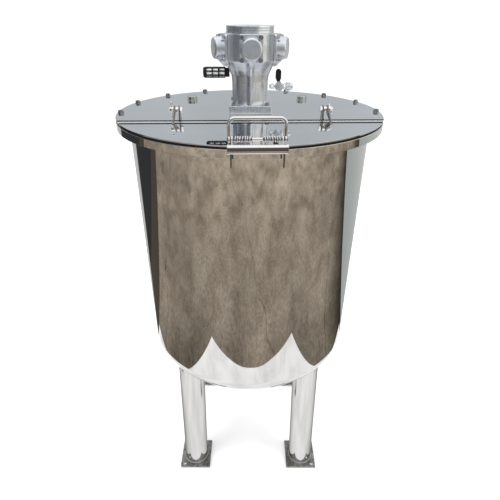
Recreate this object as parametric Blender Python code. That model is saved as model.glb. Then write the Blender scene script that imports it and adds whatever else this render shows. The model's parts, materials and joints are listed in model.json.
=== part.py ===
"""Stainless steel mixing tank on four legs, with an air driven stirrer on its lid.

Units are metres and +Z is up. The origin is on the floor, on the tank's axis.
The front half lid lifts on two wing nut hinges, and its sprung handle faces -Y.
"""

import math

import bmesh
import bpy
from mathutils import Matrix, Vector

# Driving dimensions
GAP = 0.0003
ROUND_SIDES = 72

SHEET = 0.003
SHELL_RADIUS = 0.300
DISH_TANGENT = 0.485
CROWN_RADIUS = 0.600
KNUCKLE_RADIUS = 0.060

LID_TOP = 1.142
LID_THICKNESS = 0.003
LID_RADIUS = 0.330
GASKET_THICKNESS = 0.004
RIM_HEIGHT = 0.018
RIM_SHEET = 0.004

SEAM_FRONT = -0.1408
SEAM_WIDTH = 0.0246
SEAM_GAP = 0.002

ARM_X = 0.177
EAR_X = 0.1665
HINGE_Y = -0.098
HINGE_HEIGHT = 0.0215
HINGE_PLATE = 0.003
HINGE_KNUCKLE = 0.009
HINGE_BOLT_RADIUS = 0.004
HINGE_SHOULDER_RADIUS = 0.006
WING_NUT_INNER = 0.1793
WING_NUT_OUTER = 0.1883
PIN_CLEARANCE = 0.0004

HANDLE_PIVOT_Y = -0.322
HANDLE_PIVOT_HEIGHT = 0.011
HANDLE_HALF_WIDTH = 0.053
HANDLE_EAR_SPREAD = 0.0475
HANDLE_EAR_SHEET = 0.0025
SPRING_INNER = 0.011
SPRING_OUTER = 0.0455
SPRING_RADIUS = 0.0065
HANDLE_TOP = 0.0495
HANDLE_WIRE = 0.0033
HANDLE_PIN_RADIUS = 0.003
GRIP_BAR_HALF_LENGTH = 0.057
GRIP_BAR_DEPTH = 0.014
GRIP_BAR_HEIGHT = 0.019
GRIP_BAR_RISE = 0.0024
GRIP_BAR_CLEARANCE = 0.0008
PRONG_SPREAD = 0.050
PRONG_RADIUS = 0.0018
PRONG_DROP = 0.041

MOTOR_FLANGE = 0.104
MOTOR_FLANGE_HEIGHT = 0.016
MOTOR_PAD = 0.105
MOTOR_PAD_HEIGHT = 0.0035
CRANKCASE_BOTTOM = 0.117
CRANKCASE_TOP = 0.175
CRANKCASE_RADIUS = 0.058
MOTOR_CAP_RADIUS = 0.0565
CYLINDER_COUNT = 5
CYLINDER_WIDTH = 0.052
CYLINDER_REACH = 0.064
HEAD_HEIGHT = 0.1455
HEAD_PLATE = 0.006
HEAD_PLATE_WIDTH = 0.054
HEAD_PLATE_HEIGHT = 0.058
HEAD_RADIUS = 0.0240
HEAD_REACH = 0.0915

SILENCER_HEIGHT = 0.090
SILENCER_RADIUS = 0.0128
VALVE_HEIGHT = 0.0575
VALVE_X = 0.0725
VALVE_STEM_RADIUS = 0.0035
LEVER_THICKNESS = 0.006
LEVER_OFFSET = 0.0045

PORT_X = 0.157
PORT_Y = 0.155
PORT_RADIUS = 0.0135
PORT_HEIGHT = 0.010

LEG_SPREAD = 0.181
LEG_RADIUS = 0.038
LEG_LEAN = 0.018
LEG_TURN = math.radians(-2.6)
PLATE_SIDE = 0.100
PLATE_THICKNESS = 0.008
ANCHOR_HOLE_RADIUS = 0.006
ANCHOR_HOLE_OFFSET = 0.038

SHAFT_RADIUS = 0.0125
SHAFT_BOTTOM = 0.455
IMPELLER_HEIGHT = 0.478
IMPELLER_RADIUS = 0.105
OUTLET_RADIUS = 0.0255

# Heights and places that follow from them
LID_BOTTOM = LID_TOP - LID_THICKNESS
RIM_TOP = LID_BOTTOM - GASKET_THICKNESS - 2 * GAP
SEAM_REAR = SEAM_FRONT + SEAM_WIDTH
HINGE_Z = LID_TOP + HINGE_HEIGHT
HANDLE_PIVOT = Vector((0.0, HANDLE_PIVOT_Y, LID_TOP + HANDLE_PIVOT_HEIGHT))
VALVE_PIVOT = Vector((VALVE_X, -0.021, LID_TOP + VALVE_HEIGHT))

# Colour, roughness and metallic value of each finish
FINISHES = {
    "mirror_steel": ((0.62, 0.61, 0.59), 0.08, 1.0),
    "satin_steel": ((0.58, 0.58, 0.57), 0.30, 1.0),
    "cast_aluminium": ((0.56, 0.58, 0.60), 0.38, 1.0),
    "nickel": ((0.66, 0.62, 0.56), 0.22, 1.0),
    "black_rubber": ((0.018, 0.018, 0.020), 0.60, 0.0),
    "black_plastic": ((0.022, 0.022, 0.024), 0.42, 0.0),
}


def clear_scene():
    """Remove what the file starts with."""
    for item in list(bpy.data.objects):
        bpy.data.objects.remove(item)


def make_material(name, finish):
    """Principled material of one piece."""
    colour, roughness, metallic = FINISHES[finish]
    material = bpy.data.materials.new(name)
    material.use_nodes = True
    shader = material.node_tree.nodes["Principled BSDF"]
    shader.inputs["Base Color"].default_value = (*colour, 1.0)
    shader.inputs["Roughness"].default_value = roughness
    shader.inputs["Metallic"].default_value = metallic
    material.diffuse_color = (*colour, 1.0)
    return material


def add_object(name, bm, finish, smooth_angle=35):
    """Turn a bmesh into a named object with its own material."""
    bmesh.ops.recalc_face_normals(bm, faces=bm.faces)
    mesh = bpy.data.meshes.new(name)
    bm.to_mesh(mesh)
    bm.free()
    mesh.materials.append(make_material(name, finish))
    mesh.shade_smooth()
    mesh.set_sharp_from_angle(angle=math.radians(smooth_angle))
    piece = bpy.data.objects.new(name, mesh)
    bpy.context.scene.collection.objects.link(piece)
    return piece


def arc(centre, radius, start, end, steps):
    """Points on an arc, angles in degrees from the first axis to the second."""
    angles = [math.radians(start + (end - start) * i / steps) for i in range(steps + 1)]
    return [(centre[0] + radius * math.cos(a), centre[1] + radius * math.sin(a)) for a in angles]


def turned(name, profile, finish, sides=ROUND_SIDES, ring=False):
    """Turn (radius, height) points about Z. A ring's profile closes on itself."""
    bm = bmesh.new()
    points = [bm.verts.new((radius, 0.0, height)) for radius, height in profile]
    ends = points[1:] + points[:1] if ring else points[1:]
    edges = [bm.edges.new(pair) for pair in zip(points, ends)]
    bmesh.ops.spin(bm, geom=points + edges, axis=(0, 0, 1), angle=math.tau, steps=sides)
    bmesh.ops.remove_doubles(bm, verts=bm.verts, dist=0.000001)
    return add_object(name, bm, finish)


def extruded(name, outline, start, depth, finish, plane="XY"):
    """Extrude a flat outline along the axis that its plane leaves out."""
    places = {
        "XY": lambda a, b: (a, b, start),
        "YZ": lambda a, b: (start, a, b),
        "XZ": lambda a, b: (a, start, b),
    }
    direction = Vector({"XY": (0, 0, depth), "YZ": (depth, 0, 0), "XZ": (0, depth, 0)}[plane])
    bm = bmesh.new()
    face = bm.faces.new([bm.verts.new(places[plane](a, b)) for a, b in outline])
    grown = bmesh.ops.extrude_face_region(bm, geom=[face], use_keep_orig=True)
    moved = [item for item in grown["geom"] if isinstance(item, bmesh.types.BMVert)]
    bmesh.ops.translate(bm, verts=moved, vec=direction)
    return add_object(name, bm, finish)


def box(name, low, high, finish):
    """Box between two corners."""
    outline = [(low[0], low[1]), (high[0], low[1]), (high[0], high[1]), (low[0], high[1])]
    return extruded(name, outline, low[2], high[2] - low[2], finish)


def rod(name, start, end, radius, finish, sides=24):
    """Round bar between two points."""
    start, end = Vector(start), Vector(end)
    length = (end - start).length
    piece = turned(name, [(0, 0), (radius, 0), (radius, length), (0, length)], finish, sides)
    turn = (end - start).to_track_quat("Z", "Y").to_matrix().to_4x4()
    piece.data.transform(Matrix.Translation(start) @ turn)
    return piece


def bevelled(piece, width, segments=2, angle=40):
    """Round the sharp edges of a piece."""
    bevel = piece.modifiers.new("Bevel", "BEVEL")
    bevel.width = width
    bevel.segments = segments
    bevel.limit_method = "ANGLE"
    bevel.angle_limit = math.radians(angle)
    return settled(piece)


def settled(piece):
    """Keep what the modifiers of a piece have made, and drop them."""
    bpy.context.view_layer.update()
    graph = bpy.context.evaluated_depsgraph_get()
    old = piece.data
    piece.data = bpy.data.meshes.new_from_object(piece.evaluated_get(graph))
    piece.modifiers.clear()
    bpy.data.meshes.remove(old)
    piece.data.name = piece.name
    return piece


def combined(piece, tools, operation):
    """Join other shapes to a piece, or cut them out of it."""
    for tool in tools:
        boolean = piece.modifiers.new(operation.title(), "BOOLEAN")
        boolean.operation = operation
        boolean.object = tool
        boolean.solver = "EXACT"
        settled(piece)
        mesh = tool.data
        bpy.data.objects.remove(tool)
        bpy.data.meshes.remove(mesh)
    piece.data.shade_smooth()
    piece.data.set_sharp_from_angle(angle=math.radians(35))
    return piece


def joined(piece, *tools):
    """Fuse shapes into a piece."""
    return combined(piece, tools, "UNION")


def cut(piece, *tools):
    """Cut shapes out of a piece."""
    return combined(piece, tools, "DIFFERENCE")


def placed(piece, location=(0, 0, 0), turn=0.0):
    """Move a piece, after turning it about Z."""
    piece.matrix_world = Matrix.Translation(location) @ Matrix.Rotation(turn, 4, "Z")
    return piece


def hang_on_pivot(pivot_name, location, pieces):
    """Parent moving pieces to an empty on their joint's axis."""
    pivot = bpy.data.objects.new(pivot_name, None)
    bpy.context.scene.collection.objects.link(pivot)
    pivot.location = location
    bpy.context.view_layer.update()
    for piece in pieces:
        piece.parent = pivot
        piece.matrix_parent_inverse = pivot.matrix_world.inverted()
    return pivot


def dish_profile(inset, hole=0.0, knuckle_steps=4, crown_steps=5):
    """Torispherical end from its rim to its hole, moved in by the inset."""
    knuckle_x = SHELL_RADIUS - KNUCKLE_RADIUS
    reach = CROWN_RADIUS - KNUCKLE_RADIUS
    crown_rise = math.sqrt(reach ** 2 - knuckle_x ** 2)
    meet = math.degrees(math.atan2(crown_rise, knuckle_x))
    crown = CROWN_RADIUS - inset
    last = -math.degrees(math.acos(hole / crown))
    knuckle_centre = (knuckle_x, DISH_TANGENT)
    crown_centre = (0.0, DISH_TANGENT + crown_rise)
    points = arc(knuckle_centre, KNUCKLE_RADIUS - inset, 0, -meet, knuckle_steps)
    return points + arc(crown_centre, crown, -meet, last, crown_steps)[1:]


def make_shell():
    """Rolled wall, dished bottom with its outlet, rim ring and lid gasket."""
    outer, inner = SHELL_RADIUS, SHELL_RADIUS - SHEET
    low, high = DISH_TANGENT + GAP, RIM_TOP
    turned("shell_wall", [(inner, low), (outer, low), (outer, high), (inner, high)],
           "mirror_steel", ring=True)

    hole = OUTLET_RADIUS + GAP
    outside = dish_profile(0.0, hole)
    inside = dish_profile(SHEET, hole)
    turned("bottom_dish", outside + inside[::-1], "mirror_steel", ring=True)

    bore = OUTLET_RADIUS - SHEET
    top = dish_profile(SHEET, hole)[-1][1] - GAP
    foot = top - 0.060
    ferrule = 0.032
    turned("outlet_ferrule", [(bore, top), (OUTLET_RADIUS, top), (OUTLET_RADIUS, foot + 0.006),
                              (ferrule, foot + 0.004), (ferrule, foot), (bore, foot)],
           "satin_steel", sides=48, ring=True)

    weld = SHELL_RADIUS + GAP
    skirt = LID_RADIUS - RIM_SHEET
    corner = arc((LID_RADIUS - 0.003, RIM_TOP - 0.003), 0.003, 90, 0, 3)
    turned("rim_ring", [(weld, RIM_TOP)] + corner
           + [(LID_RADIUS, RIM_TOP - RIM_HEIGHT), (skirt, RIM_TOP - RIM_HEIGHT),
              (skirt, RIM_TOP - RIM_SHEET), (weld, RIM_TOP - RIM_SHEET)],
           "mirror_steel", ring=True)

    low, high = RIM_TOP + GAP, RIM_TOP + GAP + GASKET_THICKNESS
    turned("lid_gasket", [(inner, low), (LID_RADIUS - 0.001, low),
                          (LID_RADIUS - 0.001, high), (inner, high)],
           "black_rubber", ring=True)


def lid_segment(front, rear, radius=LID_RADIUS):
    """Outline of the round lid between two lines across it, where None is its edge."""
    def angle_at(y):
        return math.degrees(math.asin(y / radius))

    if rear is None:
        start = angle_at(front)
        return arc((0, 0), radius, start, 180 - start, 72)
    if front is None:
        start = 180 - angle_at(rear)
        return arc((0, 0), radius, start, 540 - start, 40)
    right = arc((0, 0), radius, angle_at(front), angle_at(rear), 3)
    left = arc((0, 0), radius, 180 - angle_at(rear), 180 - angle_at(front), 3)
    return right + left


def make_lids():
    """Fixed rear lid, the bar across the opening, and the front lid that lifts."""
    rear = lid_segment(SEAM_REAR + SEAM_GAP, None)
    extruded("lid_rear", rear, LID_BOTTOM, LID_THICKNESS, "mirror_steel")
    bar = lid_segment(SEAM_FRONT, SEAM_REAR)
    bevelled(extruded("seam_bar", bar, LID_BOTTOM, LID_THICKNESS, "mirror_steel"), 0.0007)
    front = lid_segment(None, SEAM_FRONT - SEAM_GAP)
    return extruded("lid_front", front, LID_BOTTOM, LID_THICKNESS, "mirror_steel")


def hinge_plate(name, middle, base_front, base_rear, eye_start, eye_end):
    """Upright plate from its base line on the lid to an eye round the hinge axis."""
    eye = arc((HINGE_Y, HINGE_Z), HINGE_KNUCKLE, eye_start, eye_end, 10)
    base = LID_TOP + GAP
    outline = [(base_front, base), (base_rear, base)] + eye
    start = middle - HINGE_PLATE / 2
    plate = extruded(name, outline, start, HINGE_PLATE, "satin_steel", plane="YZ")
    reach = 2 * HINGE_PLATE
    drill = rod("drill", (middle - reach, HINGE_Y, HINGE_Z), (middle + reach, HINGE_Y, HINGE_Z),
                HINGE_BOLT_RADIUS + PIN_CLEARANCE, "satin_steel")
    return cut(plate, drill)


def make_wing_nut(name, side, turn):
    """Butterfly nut on a hinge bolt's outer end, its wings turned by so many degrees."""
    middle = side * (WING_NUT_INNER + WING_NUT_OUTER) / 2
    hub = rod(name, (side * WING_NUT_INNER, HINGE_Y, HINGE_Z),
              (side * WING_NUT_OUTER, HINGE_Y, HINGE_Z), 0.0072, "satin_steel")
    for tilt in (turn, turn + 180):
        along = Vector((math.cos(math.radians(tilt)), math.sin(math.radians(tilt))))
        across = Vector((-along.y, along.x))
        corners = [along * 0.004 - across * 0.0045, along * 0.015 - across * 0.007,
                   along * 0.0185 - across * 0.004, along * 0.0185 + across * 0.004,
                   along * 0.015 + across * 0.007, along * 0.004 + across * 0.0045]
        outline = [(HINGE_Y + c.x, HINGE_Z + c.y) for c in corners]
        wing = extruded("wing", outline, middle - 0.0015, 0.003, "satin_steel", plane="YZ")
        joined(hub, wing)
    drill = rod("drill", (side * (WING_NUT_INNER - 0.01), HINGE_Y, HINGE_Z),
                (side * (WING_NUT_OUTER + 0.01), HINGE_Y, HINGE_Z),
                HINGE_BOLT_RADIUS + PIN_CLEARANCE, "satin_steel")
    return cut(hub, drill)


def make_hinges():
    """Two hinges: fixed ear, arm on the front lid, shouldered bolt and wing nut."""
    arms = []
    for label, side, turn in (("left", -1, 72), ("right", 1, 20)):
        hinge_plate("hinge_ear_" + label, side * EAR_X, SEAM_REAR + 0.005, SEAM_REAR + 0.0325, -10, 200)
        arms.append(hinge_plate("hinge_arm_" + label, side * ARM_X,
                                SEAM_FRONT - 0.013, SEAM_FRONT - 0.0035, -75, 119))
        half = HINGE_PLATE / 2
        head = EAR_X - half - GAP
        bolt = rod("hinge_bolt_" + label, (side * (head - 0.004), HINGE_Y, HINGE_Z),
                   (side * (WING_NUT_OUTER + 0.002), HINGE_Y, HINGE_Z), HINGE_BOLT_RADIUS, "satin_steel")
        hexagon = rod("head", (side * (head - 0.0055), HINGE_Y, HINGE_Z),
                      (side * head, HINGE_Y, HINGE_Z), 0.0075, "satin_steel", sides=6)
        shoulder = rod("shoulder", (side * (EAR_X + half + GAP), HINGE_Y, HINGE_Z),
                       (side * (ARM_X - half - 0.0006), HINGE_Y, HINGE_Z),
                       HINGE_SHOULDER_RADIUS, "satin_steel")
        joined(bolt, hexagon, shoulder)
        make_wing_nut("wing_nut_" + label, side, turn)
    return arms


def make_handle_bracket():
    """Folded plate on the lid's front edge: rounded bar, two ears and two hanging prongs."""
    rear_face = -(LID_RADIUS + GRIP_BAR_CLEARANCE)
    bar_y = rear_face - GRIP_BAR_DEPTH / 2
    low, high = LID_TOP + GAP, LID_TOP + GAP + SHEET
    length = 2 * GRIP_BAR_HALF_LENGTH
    corner = GRIP_BAR_DEPTH / 2 - 0.0004
    top, bottom = high + GRIP_BAR_RISE - corner, high + GRIP_BAR_RISE - GRIP_BAR_HEIGHT + corner
    outline = arc((bar_y, top), corner, 0, 180, 8) + arc((bar_y, bottom), corner, 180, 360, 8)
    bracket = extruded("handle_bracket", outline, -GRIP_BAR_HALF_LENGTH, length,
                       "mirror_steel", plane="YZ")
    saddle = box("saddle", (-GRIP_BAR_HALF_LENGTH + 0.0006, bar_y, low),
                 (GRIP_BAR_HALF_LENGTH - 0.0006, HANDLE_PIVOT_Y + 0.024, high), "mirror_steel")
    joined(bracket, saddle)
    for side in (-1, 1):
        x = side * HANDLE_EAR_SPREAD - HANDLE_EAR_SHEET / 2
        eye = arc((HANDLE_PIVOT_Y, HANDLE_PIVOT.z), 0.0065, 0, 180, 8)
        foot = [(HANDLE_PIVOT_Y - 0.010, high - 0.001), (HANDLE_PIVOT_Y + 0.010, high - 0.001)]
        ear = extruded("ear", foot + eye, x, HANDLE_EAR_SHEET, "mirror_steel", plane="YZ")
        prong = rod("prong", (side * PRONG_SPREAD, bar_y, bottom),
                    (side * PRONG_SPREAD, bar_y, LID_TOP - PRONG_DROP), PRONG_RADIUS,
                    "mirror_steel", sides=12)
        joined(bracket, ear, prong)
    reach = GRIP_BAR_HALF_LENGTH + 0.01
    drill = rod("drill", (-reach, HANDLE_PIVOT_Y, HANDLE_PIVOT.z),
                (reach, HANDLE_PIVOT_Y, HANDLE_PIVOT.z), HANDLE_PIN_RADIUS + GAP, "mirror_steel")
    return cut(bracket, drill)


def make_handle_springs():
    """Coil springs round the pin, as plain sleeves of their outer size."""
    springs = []
    for label, side in (("left", -1), ("right", 1)):
        inner, outer = side * SPRING_INNER, side * SPRING_OUTER
        sleeve = rod("handle_spring_" + label, (inner, HANDLE_PIVOT_Y, HANDLE_PIVOT.z),
                     (outer, HANDLE_PIVOT_Y, HANDLE_PIVOT.z), SPRING_RADIUS, "satin_steel")
        drill = rod("drill", (inner - side * 0.01, HANDLE_PIVOT_Y, HANDLE_PIVOT.z),
                    (outer + side * 0.01, HANDLE_PIVOT_Y, HANDLE_PIVOT.z),
                    HANDLE_PIN_RADIUS + GAP, "satin_steel")
        springs.append(cut(sleeve, drill))
    return springs


def make_handle_bail():
    """Bent wire bail with an eye round the pin at each end."""
    bend = 0.010
    top = LID_TOP + HANDLE_TOP
    left, right = -HANDLE_HALF_WIDTH, HANDLE_HALF_WIDTH
    path = [(left, HANDLE_PIVOT.z + 0.003)]
    path += arc((left + bend, top - bend), bend, 180, 90, 5)
    path += arc((right - bend, top - bend), bend, 90, 0, 5)
    path += [(right, HANDLE_PIVOT.z + 0.003)]
    curve = bpy.data.curves.new("handle_bail", "CURVE")
    curve.dimensions = "3D"
    curve.bevel_depth = HANDLE_WIRE
    curve.bevel_resolution = 2
    curve.use_fill_caps = True
    spline = curve.splines.new("POLY")
    spline.points.add(len(path) - 1)
    for point, (x, z) in zip(spline.points, path):
        point.co = (x, HANDLE_PIVOT_Y, z, 1.0)
    guide = bpy.data.objects.new("bail_path", curve)
    bpy.context.scene.collection.objects.link(guide)
    bpy.context.view_layer.update()
    graph = bpy.context.evaluated_depsgraph_get()
    wire = bpy.data.meshes.new_from_object(guide.evaluated_get(graph))
    bm = bmesh.new()
    bm.from_mesh(wire)
    bmesh.ops.remove_doubles(bm, verts=bm.verts, dist=0.000001)
    bpy.data.objects.remove(guide)
    bpy.data.curves.remove(curve)
    bpy.data.meshes.remove(wire)
    bail = add_object("handle_bail", bm, "mirror_steel")
    for x in (left, right):
        eye = rod("eye", (x - 0.0025, HANDLE_PIVOT_Y, HANDLE_PIVOT.z),
                  (x + 0.0025, HANDLE_PIVOT_Y, HANDLE_PIVOT.z), 0.0062, "mirror_steel")
        joined(bail, eye)
    drill = rod("drill", (left - 0.01, HANDLE_PIVOT_Y, HANDLE_PIVOT.z),
                (right + 0.01, HANDLE_PIVOT_Y, HANDLE_PIVOT.z),
                HANDLE_PIN_RADIUS + PIN_CLEARANCE, "mirror_steel")
    return cut(bail, drill)


def make_handle():
    """Sprung lifting handle on the front edge of the front lid."""
    bracket = make_handle_bracket()
    reach = HANDLE_HALF_WIDTH + 0.004
    pin = rod("handle_pin", (-reach, HANDLE_PIVOT_Y, HANDLE_PIVOT.z),
              (reach, HANDLE_PIVOT_Y, HANDLE_PIVOT.z), HANDLE_PIN_RADIUS, "satin_steel")
    fixed = [bracket, pin] + make_handle_springs()
    return fixed, make_handle_bail()


def lobed_column(name, levels, finish, sides=80):
    """Loft through (height, radius, rib depth) levels with a rib under each cylinder."""
    bm = bmesh.new()
    rings = []
    for height, radius, rib in levels:
        ring = []
        for i in range(sides):
            angle = math.tau * i / sides
            ridge = max(0.0, math.cos(CYLINDER_COUNT * (angle + math.pi / 2))) ** 4
            reach = radius + rib * ridge
            ring.append(bm.verts.new((reach * math.cos(angle), reach * math.sin(angle), height)))
        rings.append(ring)
    for lower, upper in zip(rings, rings[1:]):
        for i in range(sides):
            j = (i + 1) % sides
            bm.faces.new((lower[i], lower[j], upper[j], upper[i]))
    bm.faces.new(rings[0])
    bm.faces.new(rings[-1])
    return add_object(name, bm, finish)


def make_motor_stand():
    """Polished pad, and the ribbed column on its square flange."""
    half = MOTOR_PAD / 2
    pad_top = LID_TOP + GAP + MOTOR_PAD_HEIGHT
    pad = box("motor_pad", (-half, -half, LID_TOP + GAP), (half, half, pad_top), "mirror_steel")
    bevelled(pad, 0.001)
    half = MOTOR_FLANGE / 2
    low = pad_top + GAP
    foot = box("motor_column", (-half, -half, low), (half, half, low + MOTOR_FLANGE_HEIGHT),
               "cast_aluminium")
    bevelled(foot, 0.002)
    top = LID_TOP + CRANKCASE_BOTTOM - GAP
    levels = [(low + 0.012, 0.041, 0.003), (low + 0.022, 0.039, 0.006),
              (LID_TOP + 0.070, 0.038, 0.0075), (LID_TOP + 0.086, 0.0385, 0.009),
              (LID_TOP + 0.096, 0.042, 0.011), (LID_TOP + 0.106, 0.048, 0.010), (top, 0.055, 0.004)]
    joined(foot, lobed_column("column", levels, "cast_aluminium"))


def make_crankcase():
    """Drum with five square cylinder blocks round it, and the round cap on top."""
    half = CYLINDER_WIDTH / 2
    shoulder = math.sqrt(CRANKCASE_RADIUS ** 2 - half ** 2)
    block_angle = math.degrees(math.atan2(half, shoulder))
    pitch = 360 / CYLINDER_COUNT
    outline = []
    for i in range(CYLINDER_COUNT):
        middle = -90 + i * pitch
        turn = Matrix.Rotation(math.radians(middle), 2)
        for along, across in ((CYLINDER_REACH, -half), (CYLINDER_REACH, half)):
            outline.append(tuple(turn @ Vector((along, across))))
        outline += arc((0, 0), CRANKCASE_RADIUS, middle + block_angle, middle + pitch - block_angle, 4)
    low = LID_TOP + CRANKCASE_BOTTOM
    depth = CRANKCASE_TOP - CRANKCASE_BOTTOM
    crankcase = extruded("crankcase", outline, low, depth, "cast_aluminium")
    bevelled(crankcase, 0.003, angle=50)

    low = LID_TOP + CRANKCASE_TOP + GAP
    rim, groove = MOTOR_CAP_RADIUS, MOTOR_CAP_RADIUS - 0.0015
    profile = [(0, low), (rim, low), (rim, low + 0.0055), (groove, low + 0.0063),
               (groove, low + 0.0077), (rim, low + 0.0085), (rim, low + 0.0145),
               (groove, low + 0.016), (0, low + 0.016)]
    turned("motor_cap", profile, "cast_aluminium", sides=64)


def make_cylinder_heads():
    """Square plate with a round cover, bolted on each cylinder block."""
    start = CYLINDER_REACH + GAP
    face = start + HEAD_PLATE
    half, tall = HEAD_PLATE_WIDTH / 2, HEAD_PLATE_HEIGHT / 2
    cover_length = HEAD_REACH - face + 0.001
    head = box("cylinder_head_1", (start, -half, -tall), (face, half, tall), "cast_aluminium")
    bevelled(head, 0.003, angle=50)
    cover = turned("cover", [(0, 0), (HEAD_RADIUS + 0.0005, 0), (HEAD_RADIUS, cover_length - 0.004),
                             (HEAD_RADIUS - 0.0015, cover_length), (0, cover_length)],
                   "cast_aluminium", sides=40)
    cover.data.transform(Matrix.Translation((face - 0.001, 0, 0))
                         @ Matrix.Rotation(math.pi / 2, 4, "Y"))
    joined(head, cover)
    for i in range(CYLINDER_COUNT):
        if i > 0:
            head = bpy.data.objects.new("cylinder_head_%d" % (i + 1), head.data)
            bpy.context.scene.collection.objects.link(head)
        turn = math.radians(-90 + i * 360 / CYLINDER_COUNT)
        placed(head, (0, 0, LID_TOP + HEAD_HEIGHT), turn)


def make_silencer():
    """Exhaust silencer that points left from the column's top."""
    root = -0.0505
    profile = [(0, 0), (0.0100, 0), (0.0105, 0.009), (SILENCER_RADIUS, 0.011),
               (SILENCER_RADIUS, 0.059), (0.0110, 0.063), (0, 0.063)]
    silencer = turned("silencer", profile, "black_plastic", sides=32)
    silencer.data.transform(Matrix.Translation((root, 0, LID_TOP + SILENCER_HEIGHT))
                            @ Matrix.Rotation(-math.pi / 2, 4, "Y"))


def make_valve():
    """Ball valve on the air inlet, its hose coupling, and the lever that turns it."""
    height = VALVE_PIVOT.z
    body_end = VALVE_X + 0.017
    body = rod("valve_body", (0.0480, 0, height), (body_end, 0, height), 0.0050, "nickel")
    ball = turned("ball", [(0, -0.0105), (0.0080, -0.0105), (0.0110, -0.0070), (0.0110, 0.0070),
                           (0.0080, 0.0105), (0, 0.0105)], "nickel", sides=24)
    ball.data.transform(Matrix.Translation((VALVE_X, 0, height)) @ Matrix.Rotation(math.pi / 2, 4, "Y"))
    back = VALVE_PIVOT.y + LEVER_THICKNESS / 2
    stem = rod("stem", (VALVE_X, -0.006, height), (VALVE_X, back - LEVER_THICKNESS - 0.002, height),
               VALVE_STEM_RADIUS, "nickel")
    neck = rod("neck", (VALVE_X, -0.006, height), (VALVE_X, back + 0.0015, height), 0.0060, "nickel")
    joined(body, ball, neck, stem)

    fitting = turned("hose_coupling", [(0, 0), (0.0095, 0), (0.0112, 0.002), (0.0112, 0.009),
                                       (0.0085, 0.011), (0.0085, 0.017), (0, 0.017)],
                     "nickel", sides=24)
    fitting.data.transform(Matrix.Translation((body_end + GAP, 0, height))
                           @ Matrix.Rotation(math.pi / 2, 4, "Y"))

    hub = arc((VALVE_X, height), 0.0075, 145, 395, 12)
    neck_half, grip_half = 0.0042, 0.0067
    grip_x = VALVE_X - LEVER_OFFSET
    grip_low, grip_high = height + 0.021, height + 0.0425
    grip = [(grip_x + neck_half, grip_low - 0.004), (grip_x + grip_half, grip_low)]
    grip += arc((grip_x, grip_high - grip_half), grip_half, 0, 180, 8)
    grip += [(grip_x - grip_half, grip_low), (grip_x - neck_half, grip_low - 0.004)]
    lever = extruded("valve_lever", hub + grip, back - LEVER_THICKNESS, LEVER_THICKNESS,
                     "black_plastic", plane="XZ")
    drill = rod("drill", (VALVE_X, -0.05, height), (VALVE_X, 0.02, height),
                VALVE_STEM_RADIUS + PIN_CLEARANCE, "black_plastic")
    return cut(lever, drill)


def make_ports():
    """Two plugged stubs on the rear lid."""
    low = LID_TOP + GAP
    high = low + PORT_HEIGHT
    for label, side in (("left", -1), ("right", 1)):
        port = turned("port_" + label, [(0, low), (PORT_RADIUS, low), (PORT_RADIUS, high - 0.001),
                                        (PORT_RADIUS - 0.001, high), (0, high)],
                      "mirror_steel", sides=40)
        port.data.transform(Matrix.Translation((side * PORT_X, PORT_Y, 0)))


def make_legs():
    """Four leaning tubes coped to the dish, each on a drilled base plate."""
    turn = Matrix.Rotation(LEG_TURN, 4, "Z")
    top = DISH_TANGENT + 0.04
    corners = (("front_left", -1, -1), ("front_right", 1, -1), ("rear_left", -1, 1), ("rear_right", 1, 1))
    for label, side_x, side_y in corners:
        x, y = side_x * LEG_SPREAD, side_y * LEG_SPREAD
        half = PLATE_SIDE / 2
        plate = box("base_plate_" + label, (x - half, y - half, 0),
                    (x + half, y + half, PLATE_THICKNESS), "satin_steel")
        hole_x = x + side_x * ANCHOR_HOLE_OFFSET
        hole_y = y + side_y * ANCHOR_HOLE_OFFSET
        cut(plate, rod("drill", (hole_x, hole_y, -0.01), (hole_x, hole_y, 0.02),
                       ANCHOR_HOLE_RADIUS, "satin_steel"))
        plate.matrix_world = turn

        bottom = PLATE_THICKNESS + GAP
        shift = (top - bottom) * LEG_LEAN
        leg = rod("leg_" + label, (x, y, bottom), (x, y, top), LEG_RADIUS, "mirror_steel", sides=40)
        for vertex in leg.data.vertices:
            rise = (vertex.co.z - bottom) / (top - bottom)
            vertex.co.x -= side_x * shift * rise
            vertex.co.y -= side_y * shift * rise
        leg.data.transform(turn)
        outside = dish_profile(-GAP)
        cope = turned("cope", outside[::-1] + [(SHELL_RADIUS + GAP, top + 0.02), (0, top + 0.02)],
                      "mirror_steel")
        cut(leg, cope)


def make_stirrer():
    """Shaft from the motor into the tank, with a pitched blade impeller."""
    rod("stirrer_shaft", (0, 0, SHAFT_BOTTOM), (0, 0, LID_BOTTOM - GAP), SHAFT_RADIUS, "satin_steel")
    bore, hub = SHAFT_RADIUS + GAP, 0.022
    low, high = IMPELLER_HEIGHT - 0.020, IMPELLER_HEIGHT + 0.020
    impeller = turned("impeller", [(bore, low), (hub, low), (hub, high), (bore, high)],
                      "satin_steel", sides=32, ring=True)
    blades = []
    for i in range(3):
        blade = box("blade", (0.018, -0.020, -0.0015), (IMPELLER_RADIUS, 0.020, 0.0015), "satin_steel")
        blade.data.transform(Matrix.Translation((0, 0, IMPELLER_HEIGHT))
                             @ Matrix.Rotation(math.tau * i / 3, 4, "Z")
                             @ Matrix.Rotation(math.radians(45), 4, "X"))
        blades.append(blade)
    joined(impeller, *blades)


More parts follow.
